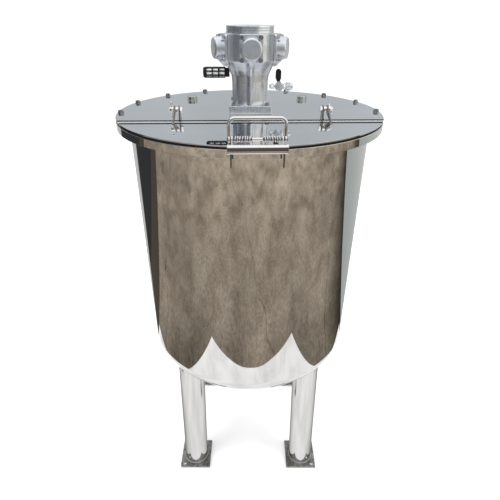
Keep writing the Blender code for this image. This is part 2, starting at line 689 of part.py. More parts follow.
def main():
    """Build every piece, and hang the moving ones on their pivots."""
    clear_scene()
    make_shell()
    lid = make_lids()
    arms = make_hinges()
    on_lid, bail = make_handle()
    make_motor_stand()
    make_crankcase()
    make_cylinder_heads()
    make_silencer()
    lever = make_valve()
    make_ports()
    make_legs()
    make_stirrer()
    hang_on_pivot("lid_pivot", (0, HINGE_Y, HINGE_Z), [lid] + arms + on_lid)
    hang_on_pivot("handle_pivot", HANDLE_PIVOT, [bail])
    hang_on_pivot("valve_pivot", VALVE_PIVOT, [lever])


main()
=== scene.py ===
"""Finishes and fine pieces of a stainless steel mixing tank.

Laid out as an add-on and run as a script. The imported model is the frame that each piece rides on.
"""
import json
import math

import bmesh
import bpy
from bpy.props import FloatProperty, FloatVectorProperty, IntProperty, PointerProperty
from mathutils import Matrix, Vector

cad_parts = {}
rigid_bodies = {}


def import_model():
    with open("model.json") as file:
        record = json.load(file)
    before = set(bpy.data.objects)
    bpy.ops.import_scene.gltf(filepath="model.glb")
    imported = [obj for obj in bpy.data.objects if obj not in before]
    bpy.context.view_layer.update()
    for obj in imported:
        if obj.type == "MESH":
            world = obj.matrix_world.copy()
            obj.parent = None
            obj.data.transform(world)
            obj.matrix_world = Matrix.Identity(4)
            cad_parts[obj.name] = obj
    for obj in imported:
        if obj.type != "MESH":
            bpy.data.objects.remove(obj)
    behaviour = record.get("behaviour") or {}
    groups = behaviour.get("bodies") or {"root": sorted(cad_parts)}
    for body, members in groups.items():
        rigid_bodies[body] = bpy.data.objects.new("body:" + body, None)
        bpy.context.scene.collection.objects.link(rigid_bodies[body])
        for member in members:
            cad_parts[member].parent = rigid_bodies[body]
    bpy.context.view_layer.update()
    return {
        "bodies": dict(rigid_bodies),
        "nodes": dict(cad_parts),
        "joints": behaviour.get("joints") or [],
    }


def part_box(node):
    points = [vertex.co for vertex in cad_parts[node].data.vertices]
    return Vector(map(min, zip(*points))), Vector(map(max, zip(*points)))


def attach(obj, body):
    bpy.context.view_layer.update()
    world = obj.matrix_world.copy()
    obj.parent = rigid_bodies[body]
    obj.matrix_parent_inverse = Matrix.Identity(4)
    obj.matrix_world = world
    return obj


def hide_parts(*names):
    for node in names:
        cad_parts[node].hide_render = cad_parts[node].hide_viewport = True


bl_info = {
    "name": "Mixing Tank Pieces",
    "version": (1, 0, 0),
    "blender": (4, 5, 0),
    "location": "3D View > Sidebar > Tank",
    "description": "Makes the finished pieces of a mixing tank on its packed model",
    "category": "Object",
}

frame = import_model()

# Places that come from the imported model, in metres
WALL_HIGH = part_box("shell_wall")[1]
DISH_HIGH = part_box("bottom_dish")[1]
RIM_LOW, RIM_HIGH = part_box("rim_ring")
GASKET_LOW, GASKET_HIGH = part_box("lid_gasket")
OUTLET_LOW, OUTLET_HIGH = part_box("outlet_ferrule")
LID_LOW, LID_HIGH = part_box("lid_rear")
SEAM_LOW, SEAM_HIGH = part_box("seam_bar")
PIVOTS = {joint["name"]: Vector(joint["pos_m"]) for joint in frame["joints"]}
SHELL_RADIUS = WALL_HIGH.x
LID_RADIUS = LID_HIGH.x
LID_TOP = LID_HIGH.z
HINGE = PIVOTS["lid_hinge"]
HANDLE = PIVOTS["handle_fold"]
VALVE = PIVOTS["valve_turn"]

# Layout
SIDES = (("left", -1), ("right", 1))
CORNERS = (("front_left", -1, -1), ("front_right", 1, -1), ("rear_left", -1, 1), ("rear_right", 1, 1))
HEADS, HEAD_PITCH = 5, 72
HEAD_TURNS = [math.radians(-90 + HEAD_PITCH * i) for i in range(HEADS)]
UP, DOWN, OUT = (0, 0, 1), (0, 0, -1), (1, 0, 0)
ROUND = 256  # sides of the vessel's round pieces
SUNK = 0.0001  # depth to which a small piece sits in the face under it


def length(name, description, default):
    """Size in metres that a user may change."""
    return FloatProperty(name=name, description=description, default=default, min=0.0, precision=4,
                         subtype="DISTANCE", unit="LENGTH")


def tint(name, description, default):
    """Colour that a user may change."""
    return FloatVectorProperty(name=name, description=description, default=default, min=0.0,
                               max=4.0, size=3, subtype="COLOR")


def turn(name, description, degrees):
    """Angle that a user may change."""
    return FloatProperty(name=name, description=description, default=math.radians(degrees),
                         subtype="ANGLE", unit="ROTATION")


class TankSizes(bpy.types.PropertyGroup):
    """Sizes of the fine pieces."""

    sheet: length("Sheet", "Thickness of the shell and the lid", 0.003)
    crown_radius: length("Crown radius", "Inside curve of the dished bottom's middle", 0.600)
    knuckle_radius: length("Knuckle radius", "Curve between the dish and the wall", 0.060)
    bead: length("Weld bead", "Half width of the weld beads", 0.0022)
    lip: length("Seal lip", "Height of the seal lips above the lid", 0.0013)
    lid_bolts: IntProperty(name="Lid bolts", description="Bolts round the fixed lid", default=9, min=2)
    bolt_circle: length("Bolt circle", "Radius of the circle of lid bolts", 0.320)
    bolt_pitch: turn("Bolt pitch", "Angle between two lid bolts", 23.55)
    nut_across: length("Nut width", "Width across the flats of the lid nuts", 0.0118)
    nut_height: length("Nut height", "Height of the lid nuts", 0.0055)
    left_wing: turn("Left wing", "Angle of the left butterfly nut's wings", 72)
    right_wing: turn("Right wing", "Angle of the right butterfly nut's wings", 20)
    spring_wire: length("Spring wire", "Diameter of the handle springs' wire", 0.0022)
    spring_pitch: length("Spring pitch", "Distance from one coil to the next", 0.0044)
    bail_wire: length("Bail wire", "Radius of the handle's wire", 0.0033)
    bail_bend: length("Bail bend", "Radius of the handle's two bends", 0.011)
    screw_across: length("Screw width", "Width of the cylinder head screws", 0.0078)
    windows: IntProperty(name="Windows", description="Silencer windows round each ring", default=8, min=3)


class TankFinishes(bpy.types.PropertyGroup):
    """Colours of the finishes."""

    mirror: tint("Mirror steel", "Polished steel of the vessel", (0.790, 0.775, 0.750))
    bright: tint("Bright steel", "Small polished parts", (0.860, 0.850, 0.830))
    lid: tint("Lid steel", "Polished steel of the lid", (0.745, 0.760, 0.780))
    lug: tint("Hinge plates", "Duller steel of the hinge plates", (0.210, 0.180, 0.150))
    stub: tint("Stubs", "Greyer polish of the two stubs on the rear lid", (0.520, 0.540, 0.520))
    satin: tint("Satin steel", "Brushed steel of the shaft and the inside", (0.560, 0.560, 0.550))
    casting: tint("Casting", "Satin aluminium of the air motor", (0.680, 0.705, 0.735))
    plated: tint("Plated bolts", "Dark plating of the lid bolts", (0.150, 0.153, 0.160))
    plate: tint("Base plates", "Unpolished steel of the base plates", (0.170, 0.168, 0.160))
    nickel: tint("Nickel", "Plated brass of the air fittings", (0.830, 0.835, 0.840))
    weld: tint("Weld", "Heat tinted steel of the weld beads", (0.500, 0.470, 0.420))
    rubber: tint("Rubber", "Lid gasket", (0.004, 0.004, 0.0045))
    plastic: tint("Plastic", "Silencer cage and lever grip", (0.0045, 0.0045, 0.005))
    felt: tint("Felt", "Filter inside the silencer", (0.820, 0.830, 0.830))


class TankStage(bpy.types.PropertyGroup):
    """Floor, surroundings, lights and camera."""

    floor: tint("Floor", "Pale floor that the camera sees", (0.900, 0.900, 0.905))
    ground_light: tint("Ground, light", "Light patches of the mirrored ground", (0.500, 0.440, 0.365))
    ground_mid: tint("Ground, middle", "Middle tone of the mirrored ground", (0.400, 0.340, 0.270))
    ground_dark: tint("Ground, dark", "Dark patches of the mirrored ground", (0.255, 0.212, 0.168))
    ground_far: tint("Ground, far", "Cool far ground that the air motor mirrors", (0.420, 0.445, 0.475))
    mat: tint("Mat", "Pale mat that the dish and the legs mirror", (1.080, 1.090, 1.110))
    pale_wall: tint("Pale wall", "Pale area behind the tank on its right", (0.580, 0.580, 0.575))
    dark_wall: tint("Dark wall", "Dark area behind the tank on its left", (0.038, 0.040, 0.044))
    sky: tint("Sky", "Soft light that the lid mirrors", (0.533, 0.560, 0.587))
    skyline: tint("Skyline", "Dark surroundings above the ground", (0.060, 0.058, 0.056))
    high_sky: tint("High sky", "Brighter light from higher up", (1.150, 1.160, 1.180))
    left_card: tint("Left card", "Dark card beside the air motor", (0.140, 0.155, 0.175))
    front_card: tint("Front card", "Dark card that the handle mirrors", (0.085, 0.072, 0.072))
    right_card: tint("Right card", "Bright card beside the air motor", (1.050, 1.020, 0.930))
    camera_reach: length("Camera reach", "Level distance from the tank's axis", 1.090)
    camera_height: length("Camera height", "Height of the camera", 1.3549)
    camera_turn: turn("Camera turn", "Camera's place round the tank, from its front", 2.6)
    camera_pitch: turn("Camera pitch", "Angle that the camera looks down", 29.77)
    camera_roll: turn("Camera roll", "Slight tilt of the picture", 0.33)
    camera_pan: turn("Camera pan", "Slight turn of the camera to its right", 0.15)
    lens: FloatProperty(name="Lens", description="Focal length in mm", default=29.664, min=1.0)


# Shader node groups


def wire(tree, kind, inputs=None, **settings):
    """Add a node, set it up, and feed its inputs with values or other sockets."""
    node = tree.nodes.new(kind)
    for name, value in settings.items():
        setattr(node, name, value)
    for key, value in (inputs or {}).items():
        socket = node.inputs[key]
        if isinstance(value, bpy.types.NodeSocket):
            tree.links.new(value, socket)
        else:
            socket.default_value = value
    return node


def remap(tree, value, low, high, to_low=0.0, to_high=1.0):
    """Stretch a range of a value over another."""
    inputs = {"Value": value, "From Min": low, "From Max": high, "To Min": to_low, "To Max": to_high}
    return wire(tree, "ShaderNodeMapRange", inputs).outputs["Result"]


def blended(tree, factor, first, second):
    """Mix two colours."""
    node = wire(tree, "ShaderNodeMix", data_type="RGBA")
    for index, value in ((0, factor), (6, first), (7, second)):
        if isinstance(value, bpy.types.NodeSocket):
            tree.links.new(value, node.inputs[index])
        else:
            node.inputs[index].default_value = value
    return node.outputs[2]


def new_group(name, inputs, outputs):
    """Empty shader group with named sockets."""
    group = bpy.data.node_groups.new(name, "ShaderNodeTree")
    for label, kind, value in inputs:
        socket = group.interface.new_socket(name=label, in_out="INPUT", socket_type="NodeSocket" + kind)
        socket.default_value = value
    for label, kind in outputs:
        group.interface.new_socket(name=label, in_out="OUTPUT", socket_type="NodeSocket" + kind)
    start = group.nodes.new("NodeGroupInput")
    end = group.nodes.new("NodeGroupOutput")
    return group, start.outputs, end.inputs


def maths(tree, operation, first, second=0.0):
    """Sum, product or the like of two values."""
    return wire(tree, "ShaderNodeMath", {0: first, 1: second}, operation=operation).outputs[0]


def scaled(tree, vector, factor):
    """Colour or place times a value."""
    return wire(tree, "ShaderNodeVectorMath", {0: vector, "Scale": factor}, operation="SCALE").outputs[0]


def noise(tree, place, scale, detail, roughness=0.5, distortion=0.0):
    """Value and colour of a cloudy noise."""
    return wire(tree, "ShaderNodeTexNoise", {"Vector": place, "Scale": scale, "Detail": detail,
                                             "Roughness": roughness, "Distortion": distortion}).outputs


def own_place(tree):
    """Place on the piece itself, in metres."""
    return wire(tree, "ShaderNodeTexCoord").outputs["Object"]


def split(tree, vector):
    """The three parts of a place or a direction."""
    return wire(tree, "ShaderNodeSeparateXYZ", {0: vector}).outputs


def polish_group():
    """Haze, fine lines and slow waves of polished sheet."""
    group, given, made = new_group(
        "Polished Sheet",
        [("Scale", "Float", 6.0), ("Stretch", "Vector", (1.0, 1.0, 0.2))],
        [("Haze", "Float"), ("Lines", "Float"), ("Waves", "Float")])
    place = own_place(group)
    stretched = {0: place, 1: given["Stretch"]}
    drawn = wire(group, "ShaderNodeVectorMath", stretched, operation="MULTIPLY").outputs[0]
    cloud = noise(group, drawn, given["Scale"], 7.0, 0.62)["Fac"]
    fineness = maths(group, "MULTIPLY", given["Scale"], 45.0)
    group.links.new(remap(group, cloud, 0.36, 0.68), made["Haze"])
    group.links.new(noise(group, drawn, fineness, 3.0)["Fac"], made["Lines"])
    group.links.new(noise(group, place, 3.2, 1.5, 0.45)["Fac"], made["Waves"])
    return group


def wear_and_highlight_group():
    """Mask of rubbed edges, from how sharply the surface turns; the casting also uses it for a painted edge
    highlight.
    """
    group, given, made = new_group(
        "Rubbed Edges And Painted Highlights", [("Reach", "Float", 0.06), ("Breakup", "Float", 90.0)], [("Mask", "Float")])
    flat = 0.505
    bend = wire(group, "ShaderNodeNewGeometry").outputs["Pointiness"]
    edge = remap(group, bend, flat, maths(group, "ADD", flat, given["Reach"]))
    cloud = noise(group, own_place(group), given["Breakup"], 4.0)["Fac"]
    group.links.new(maths(group, "MULTIPLY", edge, remap(group, cloud, 0.35, 0.6)), made["Mask"])
    return group


def mottle_group():
    """Three tones in clouds, with small specks."""
    group, given, made = new_group(
        "Mottle",
        [("Scale", "Float", 5.0), ("Dark", "Color", (0.2, 0.2, 0.2, 1.0)),
         ("Middle", "Color", (0.4, 0.4, 0.4, 1.0)), ("Light", "Color", (0.6, 0.6, 0.6, 1.0))],
        [("Colour", "Color"), ("Cloud", "Float")])
    place = own_place(group)
    cloud = noise(group, place, given["Scale"], 9.0, 0.63, 0.35)["Fac"]
    small = noise(group, place, maths(group, "MULTIPLY", given["Scale"], 11.0), 5.0, 0.7)["Fac"]
    tone = blended(group, remap(group, cloud, 0.36, 0.52), given["Dark"], given["Middle"])
    tone = blended(group, remap(group, cloud, 0.50, 0.68), tone, given["Light"])
    tone = blended(group, remap(group, small, 0.40, 0.68, 0.0, 0.55), tone, given["Middle"])
    group.links.new(tone, made["Colour"])
    group.links.new(cloud, made["Cloud"])
    return group


def casting_group():
    """Fine skin of a blasted casting, and its soft uneven tone."""
    group, given, made = new_group(
        "Cast Skin", [("Scale", "Float", 700.0)], [("Grain", "Float"), ("Tone", "Float")])
    place = own_place(group)
    group.links.new(noise(group, place, given["Scale"], 3.0)["Fac"], made["Grain"])
    tone = noise(group, place, 26.0, 4.0, 0.6)["Fac"]
    group.links.new(remap(group, tone, 0.32, 0.70), made["Tone"])
    return group


GROUPS = {}
GROUP_MAKERS = {"polish": polish_group, "wear_and_highlight": wear_and_highlight_group, "mottle": mottle_group,
                "casting": casting_group}


def effect(tree, name, inputs=None):
    """Place a shared shader group, which is built the first time."""
    if name not in GROUPS:
        GROUPS[name] = GROUP_MAKERS[name]()
    return wire(tree, "ShaderNodeGroup", inputs, node_tree=GROUPS[name]).outputs


# Materials


def shader_of(name, metallic=0.0, roughness=0.5, specular=0.5):
    """New Principled material with its plain values set on the shader."""
    material = bpy.data.materials.new(name)
    material.use_nodes = True
    tree = material.node_tree
    shader = tree.nodes["Principled BSDF"]
    shader.inputs["Metallic"].default_value = metallic
    shader.inputs["Roughness"].default_value = roughness
    shader.inputs["Specular IOR Level"].default_value = specular
    return material, tree, shader.inputs


def colour(value, scale=1.0):
    """RGBA from a property, lighter or darker by a factor."""
    return (value[0] * scale, value[1] * scale, value[2] * scale, 1.0)


def feed_bump(tree, sockets, height, distance):
    """Bump the normal by a height."""
    bump = wire(tree, "ShaderNodeBump", {"Height": height, "Distance": distance, "Strength": 1.0})
    tree.links.new(bump.outputs["Normal"], sockets["Normal"])


def polished(name, base, smooth, hazy, scale, stretch, wave=0.0009, edge=1.0):
    """Mirror polished sheet: slight haze, long polishing marks, slow waves."""
    material, tree, sockets = shader_of(name, metallic=1.0, roughness=smooth)
    # Specular Tint below one darkens the grazing edges, which the legs use as painted shade along their
    # outlines.
    sockets["Specular Tint"].default_value = (edge, edge, edge, 1.0)
    marks = effect(tree, "polish", {"Scale": scale, "Stretch": stretch})
    tree.links.new(blended(tree, marks["Haze"], colour(base), colour(base, 0.93)), sockets["Base Color"])
    grade = remap(tree, marks["Haze"], 0.0, 1.0, smooth, hazy)
    streak = remap(tree, marks["Lines"], 0.35, 0.65, -0.004, 0.006)
    tree.links.new(maths(tree, "ADD", grade, streak), sockets["Roughness"])
    feed_bump(tree, sockets, marks["Waves"], wave)
    return material


def brushed(name, base, scale, stretch, smooth=0.22, rough=0.40, metallic=1.0):
    """Satin steel with drawn lines."""
    material, tree, sockets = shader_of(name, metallic=metallic, roughness=rough)
    marks = effect(tree, "polish", {"Scale": scale, "Stretch": stretch})
    tree.links.new(blended(tree, marks["Lines"], colour(base, 0.82), colour(base, 1.12)),
                   sockets["Base Color"])
    tree.links.new(remap(tree, marks["Lines"], 0.3, 0.7, smooth, rough), sockets["Roughness"])
    feed_bump(tree, sockets, marks["Lines"], 0.00006)
    return material


def cast(name, base):
    """Satin aluminium casting, brighter on its edges, partly from rubbed wear and partly as a painted
    highlight.
    """
    material, tree, sockets = shader_of(name, metallic=1.0, roughness=0.36)
    skin = effect(tree, "casting")
    edge = effect(tree, "wear_and_highlight", {"Reach": 0.09})
    tone = blended(tree, skin["Tone"], colour(base, 0.88), colour(base, 1.06))
    # Lighter edges: rubbed wear and a painted edge highlight.
    tree.links.new(blended(tree, edge["Mask"], tone, colour(base, 1.45)), sockets["Base Color"])
    tree.links.new(remap(tree, skin["Tone"], 0.0, 1.0, 0.36, 0.22), sockets["Roughness"])
    feed_bump(tree, sockets, skin["Grain"], 0.00012)
    return material


def plated(name, base):
    """Dark plated fastener with bright rubbed corners."""
    material, tree, sockets = shader_of(name, metallic=1.0, roughness=0.28)
    edge = effect(tree, "wear_and_highlight", {"Reach": 0.10, "Breakup": 400.0})
    skin = effect(tree, "casting", {"Scale": 1500.0})
    tone = blended(tree, skin["Tone"], colour(base, 0.75), colour(base, 1.35))
    tree.links.new(blended(tree, edge["Mask"], tone, colour(base, 3.6)), sockets["Base Color"])
    tree.links.new(remap(tree, skin["Tone"], 0.0, 1.0, 0.36, 0.20), sockets["Roughness"])
    return material


def mill_plate(name, base):
    """Unpolished plate: dark mottled skin, stains and scuffed edges."""
    material, tree, sockets = shader_of(name, metallic=1.0, roughness=0.3)
    skin = effect(tree, "mottle", {"Scale": 34.0, "Dark": colour(base, 0.22),
                                   "Middle": colour(base), "Light": colour(base, 2.0)})
    edge = effect(tree, "wear_and_highlight", {"Reach": 0.08, "Breakup": 160.0})
    tree.links.new(blended(tree, edge["Mask"], skin["Colour"], colour(base, 2.3)), sockets["Base Color"])
    tree.links.new(remap(tree, skin["Cloud"], 0.35, 0.68, 0.46, 0.16), sockets["Roughness"])
    feed_bump(tree, sockets, skin["Cloud"], 0.0005)
    return material


def heat_tinted(name, base):
    """Weld bead with straw and blue heat tint."""
    material, tree, sockets = shader_of(name, metallic=1.0, roughness=0.3)
    warm = (base[0] * 1.15, base[1] * 0.95, base[2] * 0.72, 1.0)
    cool = (base[0] * 0.62, base[1] * 0.72, base[2] * 0.98, 1.0)
    skin = effect(tree, "mottle", {"Scale": 60.0, "Dark": cool, "Middle": colour(base), "Light": warm})
    tree.links.new(skin["Colour"], sockets["Base Color"])
    tree.links.new(remap(tree, skin["Cloud"], 0.35, 0.7, 0.40, 0.20), sockets["Roughness"])
    return material


def moulded(name, base, smooth, rough, specular):
    """Black rubber or plastic with a fine grain and dusty, rubbed edges."""
    material, tree, sockets = shader_of(name, roughness=rough, specular=specular)
    skin = effect(tree, "casting", {"Scale": 1100.0})
    edge = effect(tree, "wear_and_highlight", {"Reach": 0.12, "Breakup": 260.0})
    tone = blended(tree, skin["Tone"], colour(base), colour(base, 1.9))
    tree.links.new(blended(tree, edge["Mask"], tone, colour(base, 4.0)), sockets["Base Color"])
    tree.links.new(remap(tree, skin["Tone"], 0.0, 1.0, smooth, rough), sockets["Roughness"])
    feed_bump(tree, sockets, skin["Grain"], 0.00015)
    return material


def felted(name, base):
    """Pale sintered filter with an open grain."""
    material, tree, sockets = shader_of(name, roughness=0.9)
    skin = effect(tree, "mottle", {"Scale": 220.0, "Dark": colour(base, 0.72),
                                   "Middle": colour(base, 0.95), "Light": colour(base, 1.08)})
    tree.links.new(skin["Colour"], sockets["Base Color"])
    feed_bump(tree, sockets, skin["Cloud"], 0.0006)
    return material


def recipes(look):
    """Maker of every finish and its values, such as the roughness and the scale of its marks."""
    even = (1.0, 1.0, 1.0)
    return {
        "mirror steel": (polished, look.mirror, 0.014, 0.042, 7.0, (1.0, 1.0, 0.16)),
        "lid steel": (polished, look.lid, 0.012, 0.030, 6.0, (0.12, 1.0, 1.0), 0.0002),
        "bright steel": (polished, look.bright, 0.030, 0.080, 30.0, even, 0.0002),
        # leg steel: its edge value 0.30 darkens the grazing edges of the legs, a painted shade along their
        # outlines.
        "leg steel": (polished, look.mirror, 0.080, 0.170, 14.0, (1.0, 1.0, 0.10), 0.0004, 0.30),
        # bar steel: bright steel painted 1.12 times lighter, painted light for the brighter sky that the bar
        # mirrors.
        "bar steel": (polished, colour(look.bright, 1.12), 0.22, 0.30, 20.0, (0.2, 1.0, 1.0), 0.0001),
        "hinge steel": (polished, look.lug, 0.16, 0.28, 40.0, even, 0.0002),
        "stub steel": (polished, look.stub, 0.03, 0.07, 30.0, (1.0, 1.0, 0.2), 0.0002),
        "satin steel": (brushed, look.satin, 22.0, (1.0, 1.0, 0.05)),
        # inside steel: satin steel painted 1.45 times lighter and only partly metallic, painted light
        # against the shade inside the vessel.
        "inside steel": (brushed, colour(look.satin, 1.45), 12.0, (1.0, 1.0, 0.04), 0.20, 0.38, 0.45),
        "nickel": (brushed, look.nickel, 40.0, even, 0.07, 0.16),
        "casting": (cast, look.casting),
        "plated steel": (plated, look.plated),
        "mill plate": (mill_plate, look.plate),
        "weld": (heat_tinted, look.weld),
        "rubber": (moulded, look.rubber, 0.50, 0.68, 0.12),
        "plastic": (moulded, look.plastic, 0.30, 0.46, 0.22),
        "felt": (felted, look.felt),
    }


MATERIALS = {}


def finish(name):
    """Material of a named finish, made the first time it is asked for."""
    if name not in MATERIALS:
        make, *values = recipes(bpy.context.scene.tank_finishes)[name]
        MATERIALS[name] = make(name, *values)
    return MATERIALS[name]


# Shapes


def revolve(bm, profile, sides=96, closed=False, place=None, material=0):
    """Turn (radius, height) points about Z. A third value makes that ring a polygon of so many flats."""
    place = place or Matrix.Identity(4)
    rings = []
    for radius, height, *flats in profile:
        if radius < 0.000001:
            rings.append([bm.verts.new(place @ Vector((0.0, 0.0, height)))])
            continue
        ring = []
        for i in range(sides):
            angle = math.tau * i / sides
            reach = radius
            if flats:
                half = math.pi / flats[0]
                reach = radius / math.cos((angle % (2 * half)) - half)
            x, y = reach * math.cos(angle), reach * math.sin(angle)
            ring.append(bm.verts.new(place @ Vector((x, y, height))))
        rings.append(ring)
    pairs = list(zip(rings, rings[1:]))
    if closed:
        pairs.append((rings[-1], rings[0]))
    for lower, upper in pairs:
        for i in range(sides):
            j = (i + 1) % sides
            corners = [lower[i % len(lower)], lower[j % len(lower)],
                       upper[j % len(upper)], upper[i % len(upper)]]
            corners = [corner for k, corner in enumerate(corners) if corner not in corners[:k]]
            if len(corners) > 2:
                bm.faces.new(corners).material_index = material
    return bm


def corner_ring(bm, reach, height, sides, place=None, start=0.0):
    """Ring of corners about Z, whose reach is a function of the corner's number."""
    place = place or Matrix.Identity(4)
    angles = [math.tau * i / sides + start for i in range(sides)]
    return [bm.verts.new(place @ Vector((reach(i) * math.cos(a), reach(i) * math.sin(a), height)))
            for i, a in enumerate(angles)]


def loft(bm, rings, closed=False, ends=True, material=0):
    """Skin one ring after another, with a face over each end."""
    pairs = list(zip(rings, rings[1:]))
    if closed:
        pairs.append((rings[-1], rings[0]))
    faces = [bm.faces.new((first[i - 1], first[i], second[i], second[i - 1]))
             for first, second in pairs for i in range(len(first))]
    if ends and not closed:
        faces += [bm.faces.new(rings[0]), bm.faces.new(rings[-1])]
    for face in faces:
        face.material_index = material
    return bm


def facing(centre, direction):
    """Matrix that puts Z along a direction, from a centre."""
    turned = Vector(direction).to_track_quat("Z", "Y").to_matrix().to_4x4()
    return Matrix.Translation(Vector(centre)) @ turned


def square(half_width, half_height):
    """Corners of an oblong about the origin."""
    return [(-half_width, -half_height), (half_width, -half_height), (half_width, half_height),
            (-half_width, half_height)]


def filleted(points, radius, steps):
    """Round the corners of a flat outline. The radius may be given per corner."""
    count = len(points)
    radii = radius if isinstance(radius, (list, tuple)) else [radius] * count
    smooth = []
    for i, point in enumerate(points):
        if radii[i] <= 0:
            smooth.append(tuple(point))
            continue
        here = Vector(point)
        before, after = Vector(points[i - 1]) - here, Vector(points[(i + 1) % count]) - here
        reach = min(radii[i], 0.48 * before.length, 0.48 * after.length)
        start, end = here + before.normalized() * reach, here + after.normalized() * reach
        for k in range(steps + 1):
            t = k / steps
            smooth.append(tuple(start * (1 - t) ** 2 + here * 2 * t * (1 - t) + end * t ** 2))
    return smooth


def arc(centre, radius, start, end, steps):
    """Points on an arc, angles in degrees."""
    angles = [math.radians(start + (end - start) * i / steps) for i in range(steps + 1)]
    return [(centre[0] + radius * math.cos(a), centre[1] + radius * math.sin(a)) for a in angles]


PLANES = {
    "XY": Matrix.Identity(4),
    "YZ": Matrix(((0, 0, 1, 0), (1, 0, 0, 0), (0, 1, 0, 0), (0, 0, 0, 1))),
}


def slab(outline, start, depth, plane="XY"):
    """New shape: a flat outline with thickness, along the axis that its plane leaves out."""
    bm, matrix = bmesh.new(), PLANES[plane]
    low = [bm.verts.new(matrix @ Vector((a, b, start))) for a, b in outline]
    high = [bm.verts.new(matrix @ Vector((a, b, start + depth))) for a, b in outline]
    return loft(bm, [low, high])


def soften(bm, width, segments=2, angle=32):
    """Bevel the sharp edges of a mesh."""
    bmesh.ops.recalc_face_normals(bm, faces=bm.faces)
    limit = math.radians(angle)
    edges = [edge for edge in bm.edges if len(edge.link_faces) == 2 and edge.calc_face_angle(0.0) > limit]
    bmesh.ops.bevel(bm, geom=edges, offset=width, segments=segments, profile=0.5, affect="EDGES",
                    clamp_overlap=True)
    return bm


def tube(bm, path, radius, sides=12, closed=False, material=0):
    """Round bar along a path. The radius may be a function of the share of the way."""
    points = [Vector(point) for point in path]
    count = len(points)
    rings, normal = [], None
    for i, point in enumerate(points):
        before = points[i - 1] if closed or i > 0 else point
        after = points[(i + 1) % count] if closed or i < count - 1 else point
        along = (after - before).normalized()
        normal = along.orthogonal() if normal is None else normal - along * normal.dot(along)
        normal.normalize()
        side = along.cross(normal)
        reach = radius(i / (count - 1)) if callable(radius) else radius
        angles = [math.tau * k / sides for k in range(sides)]
        rings.append([bm.verts.new(point + (normal * math.cos(a) + side * math.sin(a)) * reach)
                      for a in angles])
    return loft(bm, rings, closed, material=material)


def blunt(radius, share):
    """Radius of a bar whose two ends are rounded over."""
    def reach(way):
        near = min(way, 1 - way) / share
        return radius if near >= 1 else radius * math.sqrt(max(0.04, 1 - (1 - near) ** 2))
    return reach


def bead(bm, path, radius, closed=False, material=0, ripple=0.0035):
    """Weld bead: a rippled half buried bar along a path."""
    def reach(way):
        return radius * (1 + 0.10 * math.sin(math.tau * way * total / ripple))
    points = [Vector(point) for point in path]
    ends = points[1:] + points[:1] if closed else points[1:]
    total = sum((b - a).length for a, b in zip(points, ends))
    steps = max(len(points), int(total / ripple * 4))
    lengths = [0.0]
    ring = points + points[:1] if closed else points
    for a, b in zip(ring, ring[1:]):
        lengths.append(lengths[-1] + (b - a).length)
    even, k = [], 0
    for i in range(steps + (0 if closed else 1)):
        want = total * i / steps
        while k < len(lengths) - 2 and lengths[k + 1] < want:
            k += 1
        span = max(lengths[k + 1] - lengths[k], 0.0000001)
        even.append(ring[k].lerp(ring[k + 1], (want - lengths[k]) / span))
    return tube(bm, even, reach, sides=8, closed=closed, material=material)


def circle(radius, height, steps=180, centre=(0.0, 0.0)):
    """Level circle of points."""
    return [Vector((centre[0] + radius * math.cos(math.tau * i / steps),
                    centre[1] + radius * math.sin(math.tau * i / steps), height)) for i in range(steps)]


def hex_bolt(bm, place, across, height, washer=0.0, stud=0.0, stud_height=0.0):
    """Hexagon head or nut, on a washer, with the bolt's end standing out of it."""
    low = 0.0
    if washer:
        revolve(bm, [(0, 0), (washer, 0), (washer, 0.0009), (washer - 0.0003, 0.0012), (0, 0.0012)], 32,
                place=place)
        low = 0.0011
    half, chamfer = across / 2, across * 0.07
    revolve(bm, [(0, low), (half, low), (half, low, 6), (half, low + height - chamfer, 6),
                 (half * 0.97, low + height), (0, low + height)], 48, place=place)
    if stud:
        top = low + height + stud_height
        revolve(bm, [(0, low), (stud, low), (stud, top - 0.0006), (stud - 0.0007, top), (0, top)], 24,
                place=place)
    return bm


def socket_screw(bm, place, radius, height):
    """Cylinder screw with a hexagon socket."""
    key = radius * 0.52
    revolve(bm, [(0, 0), (radius, 0), (radius, height - 0.0005), (radius - 0.0005, height),
                 (key * 1.2, height), (key, height - 0.0002, 6), (key, height * 0.45, 6), (0, height * 0.4)],
            36, place=place)


def add_shape(bm, other):
    """Put another mesh into this one."""
    mesh = plain_mesh("shape", other)
    bm.from_mesh(mesh)
    bpy.data.meshes.remove(mesh)


def copied(node, width, segments, angle=32):
    """Mesh of a CAD node with its edges rounded."""
    bm = bmesh.new()
    bm.from_mesh(frame["nodes"][node].data)
    bmesh.ops.remove_doubles(bm, verts=bm.verts, dist=0.000002)
    bmesh.ops.dissolve_limit(bm, angle_limit=math.radians(1.0), verts=bm.verts, edges=bm.edges)
    soften(bm, width, segments, angle)
    for face in bm.faces:
        face.material_index = 0
    return bm


def plain_mesh(name, bm, *materials):
    """Named mesh of a shape, with its materials."""
    mesh = bpy.data.meshes.new(name)
    bm.to_mesh(mesh)
    bm.free()
    for material in materials:
        mesh.materials.append(material)
    return mesh


def mesh_of(name, bm, finishes):
    """Mesh of a shape, with its faces turned outwards and its finishes."""
    bmesh.ops.recalc_face_normals(bm, faces=bm.faces)
    return plain_mesh(name, bm, *[finish(look) for look in finishes])


def give_finish(node, look):
    """Give a CAD node that is kept as it is a finish."""
    materials = frame["nodes"][node].data.materials
    materials.clear()
    materials.append(finish(look))


def settle(name, bm, body, finishes, nodes=(), sharp=34):
    """Make a piece of a shape, give it its finishes, and let it ride on a body."""
    settle_mesh(name, mesh_of(name, bm, finishes), body, nodes, sharp)


